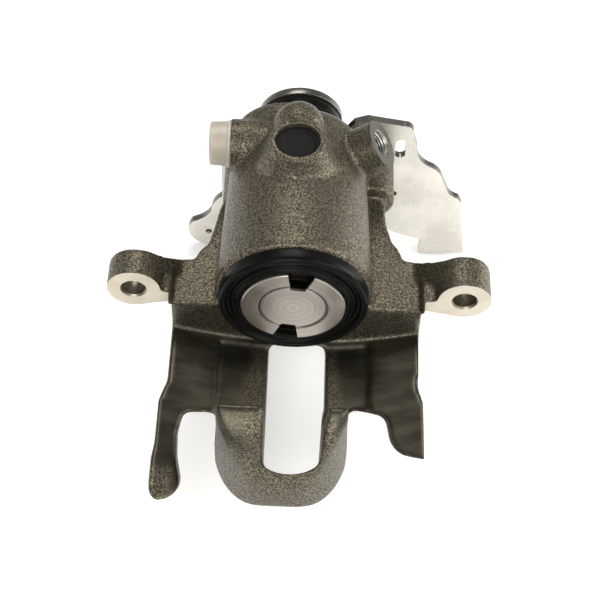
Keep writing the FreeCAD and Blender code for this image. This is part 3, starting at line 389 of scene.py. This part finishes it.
def housing():
    """The casting: holes filled and faces left proud, edges rounded, then machined to size."""
    bm = bmesh.new()
    bm.from_mesh(frame["nodes"]["caliper_housing"].data)
    bmesh.ops.remove_doubles(bm, verts=bm.verts, dist=1e-6)
    for vertex in bm.verts:
        x, y, z = vertex.co / MM
        if abs(y - EAR_FRONT) < 0.01 and abs(x - EAR_MIDDLE) > 44:
            vertex.co.y -= MACHINING_STOCK * MM
        if abs(y - REAR) < 0.01:
            vertex.co.y += MACHINING_STOCK * MM
    mesh = bpy.data.meshes.new("housing_casting")
    bm.to_mesh(mesh)
    bm.free()
    obj = add_object("housing_casting", mesh)
    combine(obj, plugs(), "UNION")
    remesh = obj.modifiers.new("remesh", "REMESH")
    remesh.mode = "VOXEL"
    remesh.voxel_size = VOXEL * MM
    apply_modifiers(obj)
    rounds = int(SMOOTHING_ROUNDS * (FINE_VOXEL / VOXEL) ** 2)
    relax(obj, rounds, rounding(points_of(obj)))
    combine(obj, machining(), "DIFFERENCE")
    shade(obj, 32)
    paint_masks(obj)
    paint_machined(obj)
    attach(obj, "housing")
    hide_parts("caliper_housing")
    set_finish(obj, "cast_zinc")
    return obj


def ground_and_painted_shade(co, normals):
    """How much of the smooth dark ground each point of the casting takes: on the cutter's sweep and the
    port's face the smooth finish is the cutter's own and the dark colour is painted shade; on the claw's
    top, the fingers' tips and the front and foot of the shelf the darkness is painted shade.
    """
    x, y, z = co.T
    ny, nz = normals[:, 1], normals[:, 2]
    depth = np.hypot(x, z - BRIDGE_CENTRE_Z)
    # painted shade: the cutter's sweep inside the bridge keeps the cutter's own smoother finish, and its
    # dark colour is painted shade
    inside = smoothstep(BRIDGE_INSIDE + 1, BRIDGE_INSIDE - 1, depth) * smoothstep(0.35, 0.7, nz)
    middle = smoothstep(-27.5, -26, x) * smoothstep(25, 23, x)
    ground = inside * smoothstep(5, 3, y) * (1 - middle * smoothstep(-27, -38, y))
    forward = np.clip(-y - 5, 0, 30)
    beside_window = smoothstep(-17, -12, x + 0.25 * forward) * smoothstep(19, 15, x - 0.1 * forward)
    ground *= 1 - 0.6 * beside_window * smoothstep(4, -2, y)
    left_leg_end = smoothstep(-52, -60, y) * smoothstep(-38, -42, x)
    ground *= 1 - left_leg_end
    claw = smoothstep(-38, -41, y) * smoothstep(-28, -27, x) * smoothstep(23, 22, x)
    # painted shade: the top of the claw and the tips of its fingers are darkened
    claw_top = claw * smoothstep(-52, -43, y) * smoothstep(0.4, 0.7, nz)
    fingers = (smoothstep(-13, -16, x) + smoothstep(16, 18, x)) * smoothstep(-36, -40, y)
    finger_tips = fingers * smoothstep(-16, 0, z)
    # painted shade: the port's machined face takes the same dark colour
    along, across = along_and_across(co, RIGHT_PORT, RIGHT_AXIS)
    port_face = smoothstep(0.7, 0.3, np.abs(along)) * smoothstep(10.5, 9.5, across)
    before_barrel = smoothstep(7, 6, y)
    # painted shade, slight: the shelf's downward front and its foot where it meets the wings
    shelf_front = smoothstep(-0.55, -0.85, ny) * smoothstep(2.0, 3.5, y) * smoothstep(-5.5, -8, z)
    shelf_foot = smoothstep(-13, -16, z) * smoothstep(-3, -1, y)
    shelf = np.maximum(shelf_front, shelf_foot) * before_barrel * smoothstep(24, 28, np.abs(x))
    for amount, place in ((0.75, claw_top), (0.8, finger_tips), (0.85, port_face), (0.18, shelf)):
        ground = np.maximum(ground, amount * place)
    return ground


def fine_grain(co, normals):
    """Where the casting's grain is finer: the sides of the barrel and the front of the shelf."""
    x, y, z = co.T
    side = smoothstep(0.45, 0.9, np.abs(normals[:, 0])) * smoothstep(10, 20, y)
    front = smoothstep(-3, -12, z) * smoothstep(6, 4, y)
    return np.clip(np.maximum(side * 0.8, front), 0, 1)


def paint_masks(obj):
    """Per-point amounts of smooth dark ground with painted shade, and of fine grain, used by the casting's
    material.
    """
    co = points_of(obj)
    normals = np.empty(len(co) * 3)
    obj.data.vertices.foreach_get("normal", normals)
    normals = normals.reshape(-1, 3)
    for name, values in (("ground", ground_and_painted_shade(co, normals)), ("fine", fine_grain(co, normals))):
        attribute = obj.data.attributes.new(name, "FLOAT", "POINT")
        attribute.data.foreach_set("value", values.astype(np.float32))


def paint_machined(obj):
    """Give every cut face its own material slot: 1 for milled faces, 2 for the walls of holes."""
    count = len(obj.data.polygons)
    centres, normals = np.empty(count * 3), np.empty(count * 3)
    obj.data.polygons.foreach_get("center", centres)
    obj.data.polygons.foreach_get("normal", normals)
    centres = centres.reshape(-1, 3) / MM
    normals = normals.reshape(-1, 3)
    x, y, z = centres.T
    nx, ny, nz = normals.T
    slots = np.zeros(count, int)
    slots[(np.abs(y - EAR_FRONT) < 0.02) & (ny < -0.99) & (np.abs(x - EAR_MIDDLE) > 43)] = 1
    slots[(np.abs(y - REAR) < 0.02) & (ny > 0.99)] = 1
    bore = (np.hypot(x, z) < 22.6) & (y > 3.6) & (y < REAR - 0.02)
    inward = nx * x + nz * z < 0.01
    slots[bore & inward & (np.hypot(x, z) > 8)] = 2
    for ear in EAR_X:
        slots[(np.hypot(x - ear, z) < EAR_HOLE + 0.62) & (y > EAR_FRONT - 0.01) & (np.abs(ny) < 0.9)] = 2
    holes = ((RIGHT_PORT, RIGHT_AXIS, 6.6), (LEFT_PORT, LEFT_AXIS, 5.1), (TOP_BOSS, UP, 8.3))
    for point, axis, reach in holes:
        along, across = along_and_across(centres, point, axis)
        wall = np.abs(normals @ np.array(axis)) < 0.9
        slots[wall & (across < reach) & (np.abs(along + 5) < 7)] = 2
    obj.data.materials.clear()
    for material in (cast_zinc(), milled_face(), bored_hole()):
        obj.data.materials.append(material)
    obj.data.polygons.foreach_set("material_index", slots)


# ---------------------------------------------------------------- the piston

def turned_piston():
    """The hollow piston, with softened edges and two notches milled into its crown."""
    obj = lathe("piston_turned", PISTON_PROFILE, segments=192)
    cosine, sine = math.cos(math.radians(NOTCH_TURN)), math.sin(math.radians(NOTCH_TURN))
    cutters = []
    for side in (-1, 1):
        outline = []
        for x, z in NOTCH:
            z *= side
            outline.append((x * cosine + z * sine, z * cosine - x * sine))
        cutters.append(prism("cut_notch", outline, -1, NOTCH_DEPTH))
    combine(obj, cutters, "DIFFERENCE")
    shade(obj, 12)
    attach(obj, "piston")
    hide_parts("piston")
    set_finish(obj, "piston_steel")
    return obj


# ---------------------------------------------------------------- rubber and springs

def dust_boot():
    """The folded boot, whose outer band sits on the housing and whose inner lip sits on the piston."""
    loop = [
        (25.95, 6.25), (26.8, 6.25), (27.25, 5.9), (27.3, 4.6), (27.25, 3.0), (26.95, 1.7), (26.3, 0.95),
        (25.5, 0.72), (24.9, 0.95), (24.5, 1.7), (24.0, 2.5), (23.3, 2.75), (22.7, 2.3), (22.3, 1.6),
        (21.8, 1.35), (21.35, 1.7), (21.0, 1.5), (20.6, 0.95), (20.0, 0.8), (19.4, 1.05), (19.12, 1.7),
        (19.1, 3.2), (19.05, 4.8), (18.2, 5.1), (17.9, 6.0), (18.2, 7.1), (19.4, 7.35), (20.2, 6.6),
        (20.4, 4.6), (20.6, 3.0), (21.4, 2.75), (22.2, 2.75), (23.0, 3.25), (24.2, 3.3), (25.2, 3.3),
        (25.9, 3.7), (25.95, 5.0),
    ]
    obj = lathe("dust_boot_rubber", rounded_loop(loop, 4), segments=160)
    shade(obj, 60)
    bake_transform(obj)
    co = points_of(obj)
    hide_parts("dust_boot")
    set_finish(obj, "boot_rubber")
    return obj


def shaft_boot():
    """The bellows between the back of the housing and the lever's hub."""
    loop = [
        (9.4, 79.1), (13.0, 79.08), (15.4, 79.1), (16.1, 79.9), (15.9, 81.2), (14.9, 82.2), (14.6, 83.0),
        (15.2, 84.0), (16.3, 85.0), (16.4, 86.6), (16.2, 88.6), (15.4, 89.7), (12.0, 89.85), (7.3, 89.85),
        (7.1, 88.4), (7.3, 87.0), (12.6, 86.9), (13.6, 86.0), (12.8, 84.2), (12.4, 82.8), (12.2, 81.4),
        (9.4, 80.6),
    ]
    obj = lathe("shaft_boot_rubber", rounded_loop(loop, 4), segments=128)
    shade(obj, 60)
    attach(obj, "housing")
    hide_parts("shaft_boot")
    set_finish(obj, "boot_rubber")
    return obj


def coil_path(start, along, side, radius, length, turns, steps=28):
    """Points of a helix about the line from start in the direction along, beginning on the side given."""
    other = along.cross(side)
    count = int(turns * steps)
    path = []
    for i in range(count + 1):
        turn = 2 * math.pi * turns * i / count
        ring = side * math.cos(turn) + other * math.sin(turn)
        path.append(start + along * (length * i / count) + ring * radius)
    return path


def bend_path(corners, radius=1.6, steps=5):
    """A polyline with its inner corners rounded."""
    corners = [Vector(c) for c in corners]
    path = [corners[0]]
    for before, corner, after in zip(corners, corners[1:], corners[2:]):
        first = corner + (before - corner).normalized() * radius
        last = corner + (after - corner).normalized() * radius
        for i in range(steps + 1):
            t = i / steps
            path.append(first.lerp(corner, t).lerp(corner.lerp(last, t), t))
    path.append(corners[-1])
    return path


def return_spring():
    """The extension spring from the bracket's left lobe to the lever."""
    anchor, moving = Vector((-36.5, 86, -57)), Vector((-8.5, 86, -37))
    along = (moving - anchor).normalized()
    hook, radius, wire = 7.0, 3.0, 0.8
    towards_lever = Vector((0, 1, 0))
    side = -towards_lever
    length = (moving - anchor).length - 2 * hook
    turns = 11.5
    coil = coil_path(anchor + along * hook, along, side, radius, length, turns)
    start = bend_path([anchor + Vector((0, -7.6, 0)), anchor + Vector((0, -3.0, 0)), coil[0]])
    end = bend_path([coil[-1], moving + Vector((0, 3.0, 0)), moving + Vector((0, 8, 0))])
    obj = tube("return_spring_wire", start[:-1] + coil + end[1:], wire)
    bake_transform(obj)
    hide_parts("lever_return_spring")
    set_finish(obj, "spring_steel")
    return obj


def ramp_spring():
    """The coil that pushes the spindle back, between its cage and the ramp plate."""
    low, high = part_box("ramp_spring")
    start, end = low.y / MM + 1.0, high.y / MM - 1.0
    path = coil_path(Vector((0, start, 0)), BORE_AXIS, Vector((1, 0, 0)), 10.5, end - start, 2.5, 40)
    obj = tube("ramp_spring_wire", path, 1.0)
    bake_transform(obj)
    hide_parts("ramp_spring")
    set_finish(obj, "spring_steel")
    return obj


def thread(name, base, axis, radius, length, pitch, depth, body, slot):
    """A helical thread ridge on a round wall, with a V section that points inwards if depth is negative."""
    side, other = cross_frame(axis)
    steps = 40
    count = int(length / pitch * steps)
    section = [(0.0, -0.46 * pitch), (depth, -0.08 * pitch), (depth, 0.08 * pitch), (0.0, 0.46 * pitch)]
    points, faces = [], []
    for i in range(count + 1):
        turn = 2 * math.pi * i / steps
        outward = side * math.cos(turn) + other * math.sin(turn)
        fade = min(1.0, i / 20, (count - i) / 20)
        for out, shift in section:
            along = pitch * (i / steps) + shift
            points.append(base + axis * along + outward * (radius + out * fade))
    size = len(section)
    for i in range(count):
        for k in range(size):
            j = (k + 1) % size
            faces.append((i * size + k, i * size + j, (i + 1) * size + j, (i + 1) * size + k))
    faces.append(tuple(range(size)))
    faces.append(tuple(reversed(range(count * size, (count + 1) * size))))
    obj = build(name, points, faces)
    face_outwards(obj)
    shade(obj, 30)
    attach(obj, body)
    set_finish(obj, slot)
    return obj


# ---------------------------------------------------------------- materials

class Nodes:
    """Short ways to add shader nodes to one material."""

    def __init__(self, name):
        self.material = bpy.data.materials.new(name)
        self.material.use_nodes = True
        self.tree = self.material.node_tree
        self.shader = self.tree.nodes["Principled BSDF"]
        self.place = self.add("ShaderNodeTexCoord").outputs["Object"]

    def add(self, kind, **values):
        node = self.tree.nodes.new(kind)
        for key, value in values.items():
            setattr(node, key, value)
        return node

    def feed(self, socket, value):
        if isinstance(value, bpy.types.NodeSocket):
            self.tree.links.new(value, socket)
        else:
            socket.default_value = value

    def math(self, operation, a, b=0.0, clamp=False):
        node = self.add("ShaderNodeMath", operation=operation, use_clamp=clamp)
        self.feed(node.inputs[0], a)
        self.feed(node.inputs[1], b)
        return node.outputs[0]

    def noise(self, scale, detail=2.0, rough=0.5, place=None):
        node = self.add("ShaderNodeTexNoise")
        self.feed(node.inputs["Vector"], place or self.place)
        node.inputs["Scale"].default_value = scale
        node.inputs["Detail"].default_value = detail
        node.inputs["Roughness"].default_value = rough
        return node.outputs["Fac"]

    def cells(self, scale):
        node = self.add("ShaderNodeTexVoronoi", feature="SMOOTH_F1")
        self.feed(node.inputs["Vector"], self.place)
        node.inputs["Scale"].default_value = scale
        return node.outputs["Distance"]

    def stretched(self, scale):
        node = self.add("ShaderNodeMapping")
        self.feed(node.inputs["Vector"], self.place)
        node.inputs["Scale"].default_value = scale
        return node.outputs["Vector"]

    def between(self, value, low, high, start=0.0, end=1.0):
        node = self.add("ShaderNodeMapRange", interpolation_type="SMOOTHSTEP")
        self.feed(node.inputs["Value"], value)
        for key, number in (("From Min", low), ("From Max", high), ("To Min", start), ("To Max", end)):
            self.feed(node.inputs[key], number)
        return node.outputs["Result"]

    def mix(self, amount, a, b):
        node = self.add("ShaderNodeMix", data_type="RGBA")
        self.feed(node.inputs["Factor"], amount)
        for socket, colour in ((node.inputs[6], a), (node.inputs[7], b)):
            self.feed(socket, (*colour, 1.0) if isinstance(colour, tuple) else colour)
        return node.outputs[2]

    def blend(self, amount, a, b):
        node = self.add("ShaderNodeMix", data_type="FLOAT")
        self.feed(node.inputs["Factor"], amount)
        self.feed(node.inputs[2], a)
        self.feed(node.inputs[3], b)
        return node.outputs[0]

    def attribute(self, name):
        return self.add("ShaderNodeAttribute", attribute_name=name).outputs["Fac"]

    def bump(self, height, distance, strength=1.0):
        node = self.add("ShaderNodeBump")
        self.feed(node.inputs["Height"], height)
        node.inputs["Distance"].default_value = distance * MM
        self.feed(node.inputs["Strength"], strength)
        return node.outputs["Normal"]

    def surface(self, colour, metal, rough, normal=None, **more):
        shader = self.shader
        self.feed(shader.inputs["Base Color"], (*colour, 1.0) if isinstance(colour, tuple) else colour)
        self.feed(shader.inputs["Metallic"], metal)
        self.feed(shader.inputs["Roughness"], rough)
        if normal is not None:
            self.feed(shader.inputs["Normal"], normal)
        for key, value in more.items():
            self.feed(shader.inputs[key.replace("_", " ")], value)
        return self.material

    def radius(self):
        """Distance from the bore's axis, in metres."""
        parts = self.add("ShaderNodeSeparateXYZ")
        self.feed(parts.inputs[0], self.place)
        squares = [self.math("POWER", parts.outputs[axis], 2.0) for axis in ("X", "Z")]
        return self.math("SQRT", self.math("ADD", *squares))


def cast_zinc():
    """Zinc plated sand casting: fine orange-peel grain, and a darker, smoother finish where a cutter swept
    it and on the claw's top; the darker colour there is painted shade.
    """
    n = Nodes("cast_zinc_plated")
    ground = n.attribute("ground")
    fine = n.attribute("fine")
    grain = n.math("ADD", n.noise(1350, 3, 0.6), n.math("MULTIPLY", n.cells(1700), 0.5))
    patches = n.noise(60, 4, 0.6)
    pits = n.between(grain, 0.55, 0.92)
    cast = n.mix(pits, (0.031, 0.026, 0.017), (0.193, 0.167, 0.118))
    cast = n.mix(n.between(patches, 0.35, 0.7, 0.0, 0.30), cast, (0.105, 0.098, 0.078))
    strokes = n.noise(170, 4, 0.6, n.stretched((0.10, 1.0, 1.0)))
    # painted shade: the dark colour of the cutter's sweep, the port's face, the claw's top and the shelf,
    # with the cutter's strokes in it
    painted_shade_colour = n.mix(n.between(strokes, 0.35, 0.7), (0.040, 0.037, 0.027), (0.070, 0.066, 0.049))
    colour = n.mix(ground, cast, painted_shade_colour)
    rough = n.blend(ground, n.blend(pits, 0.50, 0.38), n.between(strokes, 0.3, 0.7, 0.32, 0.40))
    rugged = n.math("MULTIPLY", grain, n.blend(fine, 1.0, 0.45))
    height = n.blend(ground, rugged, n.math("MULTIPLY", strokes, 0.06))
    return n.surface(colour, n.blend(ground, 0.75, 0.9), rough, n.bump(height, 0.24, 0.8))


def milled_face():
    """A flat milled face: bright zinc with faint cutter arcs."""
    n = Nodes("milled_face")
    clouds = n.noise(120, 4, 0.6)
    arcs = n.noise(420, 3, 0.6, n.stretched((1.0, 1.0, 0.25)))
    colour = n.mix(n.between(clouds, 0.3, 0.7), (0.52, 0.46, 0.37), (0.60, 0.545, 0.46))
    return n.surface(colour, 0.55, n.between(arcs, 0.3, 0.7, 0.34, 0.46), n.bump(arcs, 0.02, 0.3))


def bored_hole():
    """The wall of a drilled or bored hole."""
    n = Nodes("bored_hole")
    clouds = n.noise(300, 4, 0.6)
    marks = n.noise(1400, 2, 0.5, n.stretched((0.3, 1.0, 0.3)))
    colour = n.mix(n.between(clouds, 0.3, 0.7), (0.18, 0.165, 0.125), (0.30, 0.28, 0.22))
    return n.surface(colour, 0.9, n.between(marks, 0.3, 0.7, 0.28, 0.42), n.bump(marks, 0.03, 0.4))


def turned_steel(name, low, high, rough, rings=4200.0, strength=0.16):
    """Steel with fine rings about the bore's axis, and painted shade in the crown's notches and groove and
    on its rim.
    """
    n = Nodes(name)
    radius = n.radius()
    wave = n.math("SINE", n.math("MULTIPLY", radius, rings))
    uneven = n.noise(90, 4, 0.6)
    rings_seen = n.noise(1.0, 1, 0.5, ring_place(n, radius))
    streaks = n.math("ADD", n.math("MULTIPLY", rings_seen, 0.6), n.math("MULTIPLY", uneven, 0.4))
    colour = n.mix(n.between(streaks, 0.35, 0.65), low, high)
    place = n.add("ShaderNodeSeparateXYZ")
    n.feed(place.inputs[0], n.place)
    depth = place.outputs["Y"]
    # painted shade: the crown's notches are made near black
    notch = n.math("MULTIPLY", n.between(depth, 0.0006, 0.0014), n.between(depth, 0.0048, 0.0042))
    notch = n.math("MULTIPLY", notch, n.between(radius, 0.01885, 0.0187))
    colour = n.mix(notch, colour, (0.012, 0.011, 0.010))
    # painted shade: the rim chamfer of the crown is darkened
    rim = n.between(radius, 0.0185, 0.0188, 0.0, 0.7)
    colour = n.mix(rim, colour, (0.20, 0.19, 0.17))
    # painted shade: the crown's groove is darkened
    groove = n.math("MULTIPLY", n.between(radius, 0.0117, 0.0119), n.between(radius, 0.0129, 0.0127))
    colour = n.mix(n.math("MULTIPLY", groove, 0.8), colour, (0.10, 0.09, 0.08))
    height = n.math("ADD", n.math("MULTIPLY", wave, 0.35), rings_seen)
    roughness = n.between(uneven, 0.3, 0.7, rough - 0.05, rough + 0.08)
    return n.surface(colour, 0.95, roughness, n.bump(height, 0.05, strength))


def ring_place(n, radius):
    """A texture position that changes with the radius alone."""
    node = n.add("ShaderNodeCombineXYZ")
    n.feed(node.inputs[0], n.math("MULTIPLY", radius, 800.0))
    return node.outputs[0]


def plated_sheet(name, low, high, rough=0.22):
    """Bright zinc plate on pressed steel, with faint rolling marks, dull clouds and painted shade on faces
    turned sideways.
    """
    n = Nodes(name)
    clouds = n.noise(45, 4, 0.6)
    marks = n.noise(500, 3, 0.7, n.stretched((1.0, 1.0, 0.12)))
    colour = n.mix(n.between(clouds, 0.35, 0.7), low, high)
    facing = n.add("ShaderNodeSeparateXYZ")
    n.feed(facing.inputs[0], n.add("ShaderNodeNewGeometry").outputs["Normal"])
    # painted shade: edges and other faces that don't face along the Y axis are darkened
    edge = n.between(n.math("ABSOLUTE", facing.outputs["Y"]), 0.92, 0.45)
    colour = n.mix(edge, colour, (0.16, 0.155, 0.14))
    roughness = n.between(n.math("ADD", n.math("MULTIPLY", clouds, 0.6), n.math("MULTIPLY", marks, 0.4)),
                          0.35, 0.65, rough, rough + 0.16)
    return n.surface(colour, 0.95, roughness, n.bump(marks, 0.03, 0.35))


def plain_steel(name, low, high, rough=0.3):
    n = Nodes(name)
    clouds = n.noise(160, 4, 0.6)
    scratches = n.noise(900, 3, 0.8, n.stretched((1.0, 0.2, 1.0)))
    colour = n.mix(n.between(clouds, 0.35, 0.7), low, high)
    roughness = n.between(scratches, 0.3, 0.7, rough, rough + 0.15)
    return n.surface(colour, 0.95, roughness, n.bump(scratches, 0.02, 0.4))


def rubber(name, low, high, rough=0.36, gloss=0.5):
    n = Nodes(name)
    dust = n.noise(300, 5, 0.65)
    bloom = n.noise(40, 3, 0.5)
    colour = n.mix(n.between(bloom, 0.4, 0.75), low, high)
    return n.surface(colour, 0.0, n.between(bloom, 0.3, 0.7, rough, rough + 0.14), n.bump(dust, 0.05, 0.35),
                     Specular_IOR_Level=gloss)


def plastic(name, low, high, rough, scatter):
    n = Nodes(name)
    skin = n.noise(700, 3, 0.6)
    clouds = n.noise(80, 3, 0.5)
    colour = n.mix(n.between(clouds, 0.35, 0.7), low, high)
    roughness = n.between(skin, 0.3, 0.7, rough, rough + 0.1)
    return n.surface(colour, 0.0, roughness, n.bump(skin, 0.03, 0.3), Subsurface_Weight=scatter,
                     Subsurface_Radius=(0.004, 0.003, 0.002), Subsurface_Scale=1.0)


def white_floor():
    n = Nodes("pale_floor")
    speckle = n.noise(30, 2, 0.5)
    return n.surface(n.mix(speckle, (0.90, 0.90, 0.90), (0.93, 0.93, 0.92)), 0.0, 0.7,
                     Emission_Color=(1.0, 1.0, 1.0, 1.0), Emission_Strength=0.28)


# the casting's own node is replaced, so its slot only needs a plain metal here
MATERIALS = {
    "cast_zinc": bored_hole(),
    "piston_steel": turned_steel("turned_piston_steel", (0.42, 0.38, 0.34), (0.55, 0.50, 0.455), 0.34),
    "seal_rubber": rubber("seal_rubber", (0.010, 0.010, 0.010), (0.02, 0.02, 0.018)),
    "boot_rubber": rubber("boot_rubber", (0.003, 0.003, 0.0027), (0.006, 0.006, 0.005), 0.24, 0.08),
    "steel_plain": plain_steel("machined_steel", (0.36, 0.36, 0.35), (0.55, 0.54, 0.52)),
    "spring_steel": plain_steel("spring_wire", (0.20, 0.20, 0.20), (0.38, 0.37, 0.35), 0.28),
    "hardened_steel": plain_steel("ground_steel", (0.46, 0.46, 0.46), (0.62, 0.62, 0.60), 0.2),
    "bronze_bush": plain_steel("sintered_bronze", (0.48, 0.33, 0.15), (0.62, 0.46, 0.24), 0.4),
    "plated_bracket": plated_sheet("zinc_plated_sheet", (0.66, 0.63, 0.57), (0.84, 0.81, 0.74)),
    "plated_lever": plated_sheet("zinc_plated_lever", (0.50, 0.49, 0.46), (0.74, 0.73, 0.69)),
    "plated_fastener": plated_sheet("zinc_plated_fastener", (0.46, 0.45, 0.42), (0.70, 0.69, 0.65), 0.26),
    "black_plug": rubber("black_plug_rubber", (0.007, 0.007, 0.006), (0.012, 0.012, 0.010), 0.5, 0.12),
    "cream_plastic": plastic("cream_plug_plastic", (0.40, 0.36, 0.29), (0.55, 0.51, 0.43), 0.38, 0.35),
}


def coat(obj, material):
    obj.data.materials.clear()
    obj.data.materials.append(material)


def coat_nodes():
    """Give every carried-over CAD node its slot's material, and soften the edges of the visible ones listed
    in SOFT_EDGES.
    """
    slots = {entry["node"]: entry["material_slot"] for entry in frame["record"]["subparts"]}
    for node, obj in frame["nodes"].items():
        for index in range(len(obj.material_slots)):
            obj.material_slots[index].material = MATERIALS[slots[node]]
        if not obj.hide_render and node in SOFT_EDGES:
            weld = obj.modifiers.new("weld", "WELD")
            weld.merge_threshold = 1e-6
            flats = obj.modifiers.new("flats", "DECIMATE")
            flats.decimate_type = "DISSOLVE"
            flats.angle_limit = math.radians(FLAT_ANGLE)
            bevel = obj.modifiers.new("bevel", "BEVEL")
            bevel.width = SOFT_EDGES[node] * MM
            bevel.segments = 3
            bevel.limit_method = "ANGLE"
            bevel.angle_limit = math.radians(EDGE_ANGLE)
            bevel.harden_normals = True


# ---------------------------------------------------------------- floor, light and camera

def floor(lowest):
    reach = 1.6
    mesh = bpy.data.meshes.new("floor")
    mesh.from_pydata([(-reach, -reach, lowest), (reach, -reach, lowest), (reach, reach, lowest),
                      (-reach, reach, lowest)], [], [(0, 1, 2, 3)])
    obj = add_object("floor", mesh)
    obj.data.materials.append(white_floor())
    obj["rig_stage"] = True


# each area light: its place and the point it faces in metres, its width and height, watts and colour
LIGHTS = {
    "key": ((-0.05, 0.55, 0.85), (0, 0.02, 0), (0.45, 0.45), 4.0, (1.0, 0.98, 0.95)),
    "front": ((-0.12, -0.60, 0.60), (0, 0.02, 0), (0.5, 0.5), 4.7, (1.0, 0.98, 0.95)),
    "fill": ((0.60, -0.25, 0.50), (0, 0.02, 0), (0.5, 0.5), 3.5, (1.0, 1.0, 1.0)),
    "left_edge": ((-0.75, 0.20, 0.18), (0, 0.03, 0), (0.35, 0.5), 0.9, (0.95, 0.98, 1.0)),
    "right_edge": ((0.75, 0.25, 0.16), (0, 0.03, 0), (0.35, 0.5), 3.0, (1.0, 1.0, 0.97)),
}


def area_light(name, place, aim, size, power, colour):
    light = bpy.data.lights.new(name, "AREA")
    light.energy = power
    light.color = colour
    light.shape = "RECTANGLE"
    light.size, light.size_y = size
    obj = bpy.data.objects.new(name, light)
    obj.location = place
    direction = Vector(aim) - Vector(place)
    obj.rotation_mode = "QUATERNION"
    obj.rotation_quaternion = direction.to_track_quat("-Z", "Y")
    bpy.context.scene.collection.objects.link(obj)


def world():
    """Soft grey all round, darker overhead."""
    made = bpy.data.worlds.new("studio")
    made.use_nodes = True
    tree = made.node_tree
    shader = tree.nodes["Background"]
    place = tree.nodes.new("ShaderNodeTexCoord")
    parts = tree.nodes.new("ShaderNodeSeparateXYZ")
    tree.links.new(place.outputs["Generated"], parts.inputs[0])
    lift = tree.nodes.new("ShaderNodeMapRange")
    lift.inputs["From Min"].default_value = -0.2
    lift.inputs["From Max"].default_value = 0.75
    lift.inputs["To Min"].default_value = 0.62
    lift.inputs["To Max"].default_value = 0.30
    tree.links.new(parts.outputs["Z"], lift.inputs["Value"])
    tree.links.new(lift.outputs["Result"], shader.inputs["Strength"])
    shader.inputs["Color"].default_value = (1.0, 0.985, 0.96, 1.0)
    bpy.context.scene.world = made


CAMERA_PLACE = Vector((0, -0.3268, 0.4548))
CAMERA_LENS = 93.4
CAMERA_SHIFT = (7 / 600, 8 / 600)
CAMERA_ROLL = math.radians(2.2)


def camera():
    """A long lens in front of and above the piston, aimed at the origin, with a slight roll."""
    made = bpy.data.cameras.new("camera")
    made.lens = CAMERA_LENS
    made.sensor_width = 36
    made.shift_x, made.shift_y = CAMERA_SHIFT
    made.clip_start = 0.01
    obj = bpy.data.objects.new("camera", made)
    forward = -CAMERA_PLACE.normalized()
    right = forward.cross(UP).normalized()
    above = right.cross(forward)
    turned = right * math.cos(CAMERA_ROLL) + above * math.sin(CAMERA_ROLL)
    top = above * math.cos(CAMERA_ROLL) - right * math.sin(CAMERA_ROLL)
    matrix = Matrix((turned, top, -forward)).transposed().to_4x4()
    matrix.translation = CAMERA_PLACE
    obj.matrix_world = matrix
    bpy.context.scene.collection.objects.link(obj)
    bpy.context.scene.camera = obj


# ---------------------------------------------------------------- the whole

housing()
for piece in (turned_piston(), dust_boot(), shaft_boot(), return_spring(), ramp_spring()):
    coat(piece, MATERIALS[piece["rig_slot"]])
port_thread = thread("port_thread", RIGHT_PORT - RIGHT_AXIS * 10.5, RIGHT_AXIS, 5.02, 9.6, 1.0, -0.5,
                     "housing", "cast_zinc")
coat(port_thread, MATERIALS["steel_plain"])
shaft_thread = thread("shaft_thread", Vector((0, 93.4, 0)), BORE_AXIS, 4.98, 5.4, 1.25, 0.35,
                      "lever", "hardened_steel")
coat(shaft_thread, MATERIALS["hardened_steel"])
coat_nodes()

world()
for light_name, settings in LIGHTS.items():
    area_light(light_name, *settings)
camera()
bpy.context.view_layer.update()
floor(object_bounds()[0].z - 0.0003)
bpy.context.scene.view_settings.view_transform = "Standard"
